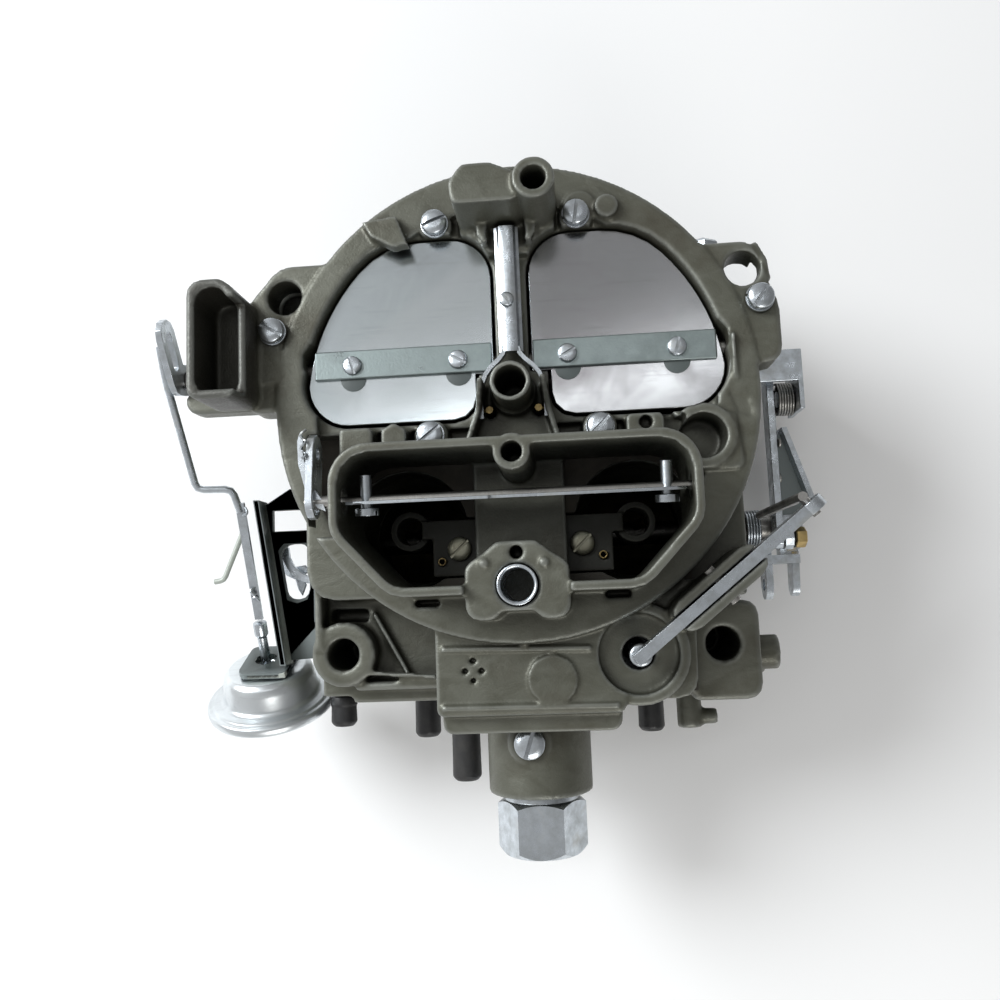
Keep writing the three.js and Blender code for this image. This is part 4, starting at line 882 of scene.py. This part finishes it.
CHOKE_Y, CHOKE_Z, CHOKE_LEAN = -11, 94.5, math.radians(96.6)
CHOKE_FRAME = Matrix.Translation((0, CHOKE_Y * MM, CHOKE_Z * MM)) @ Matrix.Rotation(CHOKE_LEAN, 4, "X")


def choke_plate():
    """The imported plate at 0.6 of its thickness, moved towards the shaft."""
    thinned = node_bmesh("choke_plate")
    thinner = Matrix.Translation((0, 0, -0.1 * MM)) @ Matrix.Diagonal((1, 1, 0.6, 1))
    thinned.transform(CHOKE_FRAME @ thinner @ CHOKE_FRAME.inverted())
    return thinned


def choke_shaft():
    """A half round behind the plate, with a round bearing at its left end."""
    half_round = [(-1.2, 0.12), (-1.0, -0.6), (-0.6, -1.0), (0.01, -1.2), (0.6, -1.0), (1.0, -0.6),
                  (1.2, 0.12)]
    shaft = slab(half_round, -44.6, 54)
    onto_axis = Matrix(((0, 0, -1, 0), (1, 0, 0, 0), (0, 1, 0, 0), (0, 0, 0, 1)))
    shaft.transform(CHOKE_FRAME @ onto_axis)
    bearing = lathe([(0, -53.8), (1.8, -53.8), (1.8, -45), (0, -45)], (0, CHOKE_Y, CHOKE_Z), "x", 28, 0.2)
    return joined(shaft, bearing)


LEVER_OUTLINE = [(-48.2, -13.5), (-50.4, -12.5), (-53.4, -8), (-55.2, -1), (-55.4, 5), (-54.6, 7.2),
                 (-53.8, 5.6), (-54.2, 3.2), (-53.6, -0.5), (-51.6, -2.4), (-52.2, -6), (-49.2, -10.5)]
extra("choke_lever_wire", "choke", lever_wire(), ZINC)
extra("choke_lever_web", "choke", slab(LEVER_OUTLINE, 95.2, 96.2), ZINC)
replacing("choke_plate", choke_plate(), sharp_deg=30)
replacing("choke_shaft", choke_shaft(), sharp_deg=40)


# ---------------------------------------------------------------- throttle lever
LEVER_NUT = [(0, 84.2), (2.9, 84.2), (3.3, 84.6), (3.3, 87.2), (2.9, 87.6), (0, 87.6)]
LEVER_RIVET = [(0, 80.3), (1.2, 80.3), (1.5, 80.7), (1.5, 81.2), (0, 81.2)]
LEVER_FLOOR = [(81.2, 12), (83.0, 12.2), (89.0, -10.5), (89.0, -14), (81.2, -14)]
lever_nut = lathe(LEVER_NUT, (0, -21.5, 27.5), "x", 6, 0.1)
extra("throttle_lever_nut", "primary_throttle", lever_nut, BRASS)
for k, (y, z) in enumerate(((8.5, 30.5), (-2.5, 27.5))):
    rivet = lathe(LEVER_RIVET, (0, y, z), "x", 20, 0.2)
    extra(f"throttle_lever_rivet_{k + 1}", "primary_throttle", rivet, STEEL)
extra("throttle_lever_floor", "primary_throttle", slab(LEVER_FLOOR, 25.3, 25.7), BLACKED)


# ---------------------------------------------------------------- vacuum break bracket
def sheet(name, shapes, cuts, material):
    """Pressed sheet metal, made of joined shapes with openings cut out and edges rounded."""
    return edged(carve(from_bmesh(name, joined(*shapes), material), *cuts), 0.3, 2, 40)


PLATE = [(-82.3, -6.5), (-73, -0.8), (-61.3, -0.8), (-61.3, -36), (-63.5, -42), (-74.6, -53.5), (-75, -53.5)]
CAM_WINDOW = [(-74, -35), (-71, -36), (-68, -35), (-67, -32), (-67, -20), (-68, -18), (-75, -18),
              (-76.6, -20)]
SLANTED_EDGE = [(-82.5, -4.6), (-80.7, -4.6), (-72.9, -54.6), (-74.7, -54.6)]
TAB = [(-3.5, -9), (8.4, -9), (8.4, 8), (-3.5, 8)]
CAM_ARMS = [(-80.7, -19.3), (-79.2, -18.7), (-78.4, -22.3), (-75.5, -24.8), (-71.1, -24.2), (-69.8, -26.2),
            (-71.8, -27.7), (-70.9, -30.6), (-72.2, -34), (-73.5, -32), (-74.4, -28.8), (-77.2, -27.4),
            (-79.9, -24.6)]
HOOK_WIRE = [(-88.6, -13.6, 46.2), (-95.2, -28.2, 45), (-98.2, -28.6, 45)]
upper_window = block((-78.4, -13.9, 45), (-65, -7.4, 49))
side_flange = block((-63.1, -36, 46.1), (-61.3, -6, 57))
cam_window = slab(CAM_WINDOW, 45, 49)
plate = sheet("bracket_plate", [slab(PLATE, 46, 47.8), side_flange], [upper_window, cam_window], BLACKED)
stand_for(plate, "vacuum_break_bracket")
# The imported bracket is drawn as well, for its slanted flange and its tab.
detailed("vacuum_break_bracket")
tab = slab(TAB, 7.2, 8.9)
tab.transform(Matrix.Translation(Vector(CAN_PLACE) * MM) @ Matrix.Rotation(math.radians(-64), 4, "X"))
stem_hole = lathe([(0, 4), (3.4, 4), (3.4, 12), (0, 12)], CAN_PLACE, CAN_AXIS, 32, 0.1)
keep(sheet("bracket_tab", [tab], [stem_hole], PALE), "chassis")
keep(sheet("bracket_edge", [slab(SLANTED_EDGE, 46, 54)], [], PALE), "chassis")
extra("bracket_wire", "chassis", rod(bent(HOOK_WIRE, 1.2), 0.85, smooth=False), PALE)
keep(sheet("fast_idle_cam_arms", [slab(CAM_ARMS, 37.6, 38.8)], [], ZINC), "fast_idle_cam")


# ---------------------------------------------------------------- every other node
# The throttle plates take the near-black brass, painted shade deep in the bores.
for node in ("primary_plate_left", "primary_plate_right", "secondary_plate_left", "secondary_plate_right"):
    detailed(node, material=SHADED_BRASS)
UNBEVELLED = {"secondary_rod_left", "secondary_rod_right", "throttle_body_gasket", "air_horn_gasket"}
for node in NODE_BODY:
    if node not in DONE:
        detailed(node, 0 if node in UNBEVELLED else 0.22)


# ---------------------------------------------------------------- camera, floor and light
def look_through(position, turns):
    """Puts the camera at a place in millimetres, turned about X, Y and Z from looking straight down."""
    a, b, c = (math.radians(turn) for turn in turns)
    ca, sa, cb, sb, cc, sc = math.cos(a), math.sin(a), math.cos(b), math.sin(b), math.cos(c), math.sin(c)
    about_x = Matrix(((1, 0, 0), (0, ca, -sa), (0, sa, ca)))
    about_y = Matrix(((cb, 0, sb), (0, 1, 0), (-sb, 0, cb)))
    about_z = Matrix(((cc, -sc, 0), (sc, cc, 0), (0, 0, 1)))
    seen = about_z @ about_y @ about_x @ Matrix(((1, 0, 0), (0, -1, 0), (0, 0, -1)))
    right, up, back = seen[0], -seen[1], -seen[2]
    lens = bpy.data.cameras.new("camera")
    lens.sensor_width, lens.lens = 36, 32.4
    lens.clip_start, lens.clip_end = 0.01, 10
    camera = bpy.data.objects.new("camera", lens)
    bpy.context.scene.collection.objects.link(camera)
    pose = Matrix((right, up, back)).transposed().to_4x4()
    pose.translation = Vector(position) * MM
    camera.matrix_world = pose
    bpy.context.scene.camera = camera


look_through((13.85, -37.26, 319.59), (-6.273, 4.462, -2.717))


def floor_look():
    """Pale matt floor with a very faint cloudiness."""
    look = Look("studio_floor", 0.0, 0.7)
    cloud = look.noise(400, 2.0)
    return look.finish(look.blend(look.spread(cloud, 0.3, 0.7), (0.88, 0.88, 0.88), (0.93, 0.93, 0.93)))


floor_shape = bmesh.new()
bmesh.ops.create_grid(floor_shape, x_segments=8, y_segments=8, size=3.0)
floor_shape.transform(Matrix.Translation((0, 0, -0.0006)))
floor = from_bmesh("floor", floor_shape, floor_look())


def area_light(name, place, aim, size, watts, colour, depth=None):
    """A soft lamp aimed at a point: a disc, or a rectangle where a depth is given."""
    lamp = bpy.data.lights.new(name, "AREA")
    lamp.shape = "RECTANGLE" if depth else "DISK"
    lamp.size, lamp.energy, lamp.color = size, watts, colour
    if depth:
        lamp.size_y = depth
    holder = bpy.data.objects.new(name, lamp)
    bpy.context.scene.collection.objects.link(holder)
    holder.location = place
    holder.rotation_euler = (Vector(place) - Vector(aim)).to_track_quat("Z", "Y").to_euler()


area_light("key", (-0.8, 0.42, 0.8), (0, 0, 0.05), 0.6, 13.5, (0.95, 0.98, 1.0))
area_light("strip", (-0.05, 0.18, 0.95), (0, 0, 0.08), 0.62, 0.34, (0.97, 0.99, 1.0), 0.06)
area_light("front", (0.15, -0.75, 0.5), (0, 0, 0.05), 0.45, 2.2, (1.0, 0.99, 0.96))

def studio_world(bright, dim):
    """An even surround that is bright at the left and dims towards the right."""
    world = bpy.data.worlds.new("studio")
    world.use_nodes = True
    bpy.context.scene.world = world
    nodes, links = world.node_tree.nodes, world.node_tree.links
    nodes.clear()
    direction = nodes.new("ShaderNodeTexCoord").outputs["Generated"]
    split = nodes.new("ShaderNodeSeparateXYZ")
    fade = nodes.new("ShaderNodeMapRange")
    background = nodes.new("ShaderNodeBackground")
    output = nodes.new("ShaderNodeOutputWorld")
    for name, value in (("From Min", -0.7), ("From Max", 0.5), ("To Min", bright), ("To Max", dim)):
        fade.inputs[name].default_value = value
    links.new(direction, split.inputs[0])
    links.new(split.outputs[0], fade.inputs["Value"])
    links.new(fade.outputs[0], background.inputs["Strength"])
    links.new(background.outputs[0], output.inputs["Surface"])


studio_world(0.75, 0.32)
bpy.context.scene.view_settings.view_transform = "Standard"
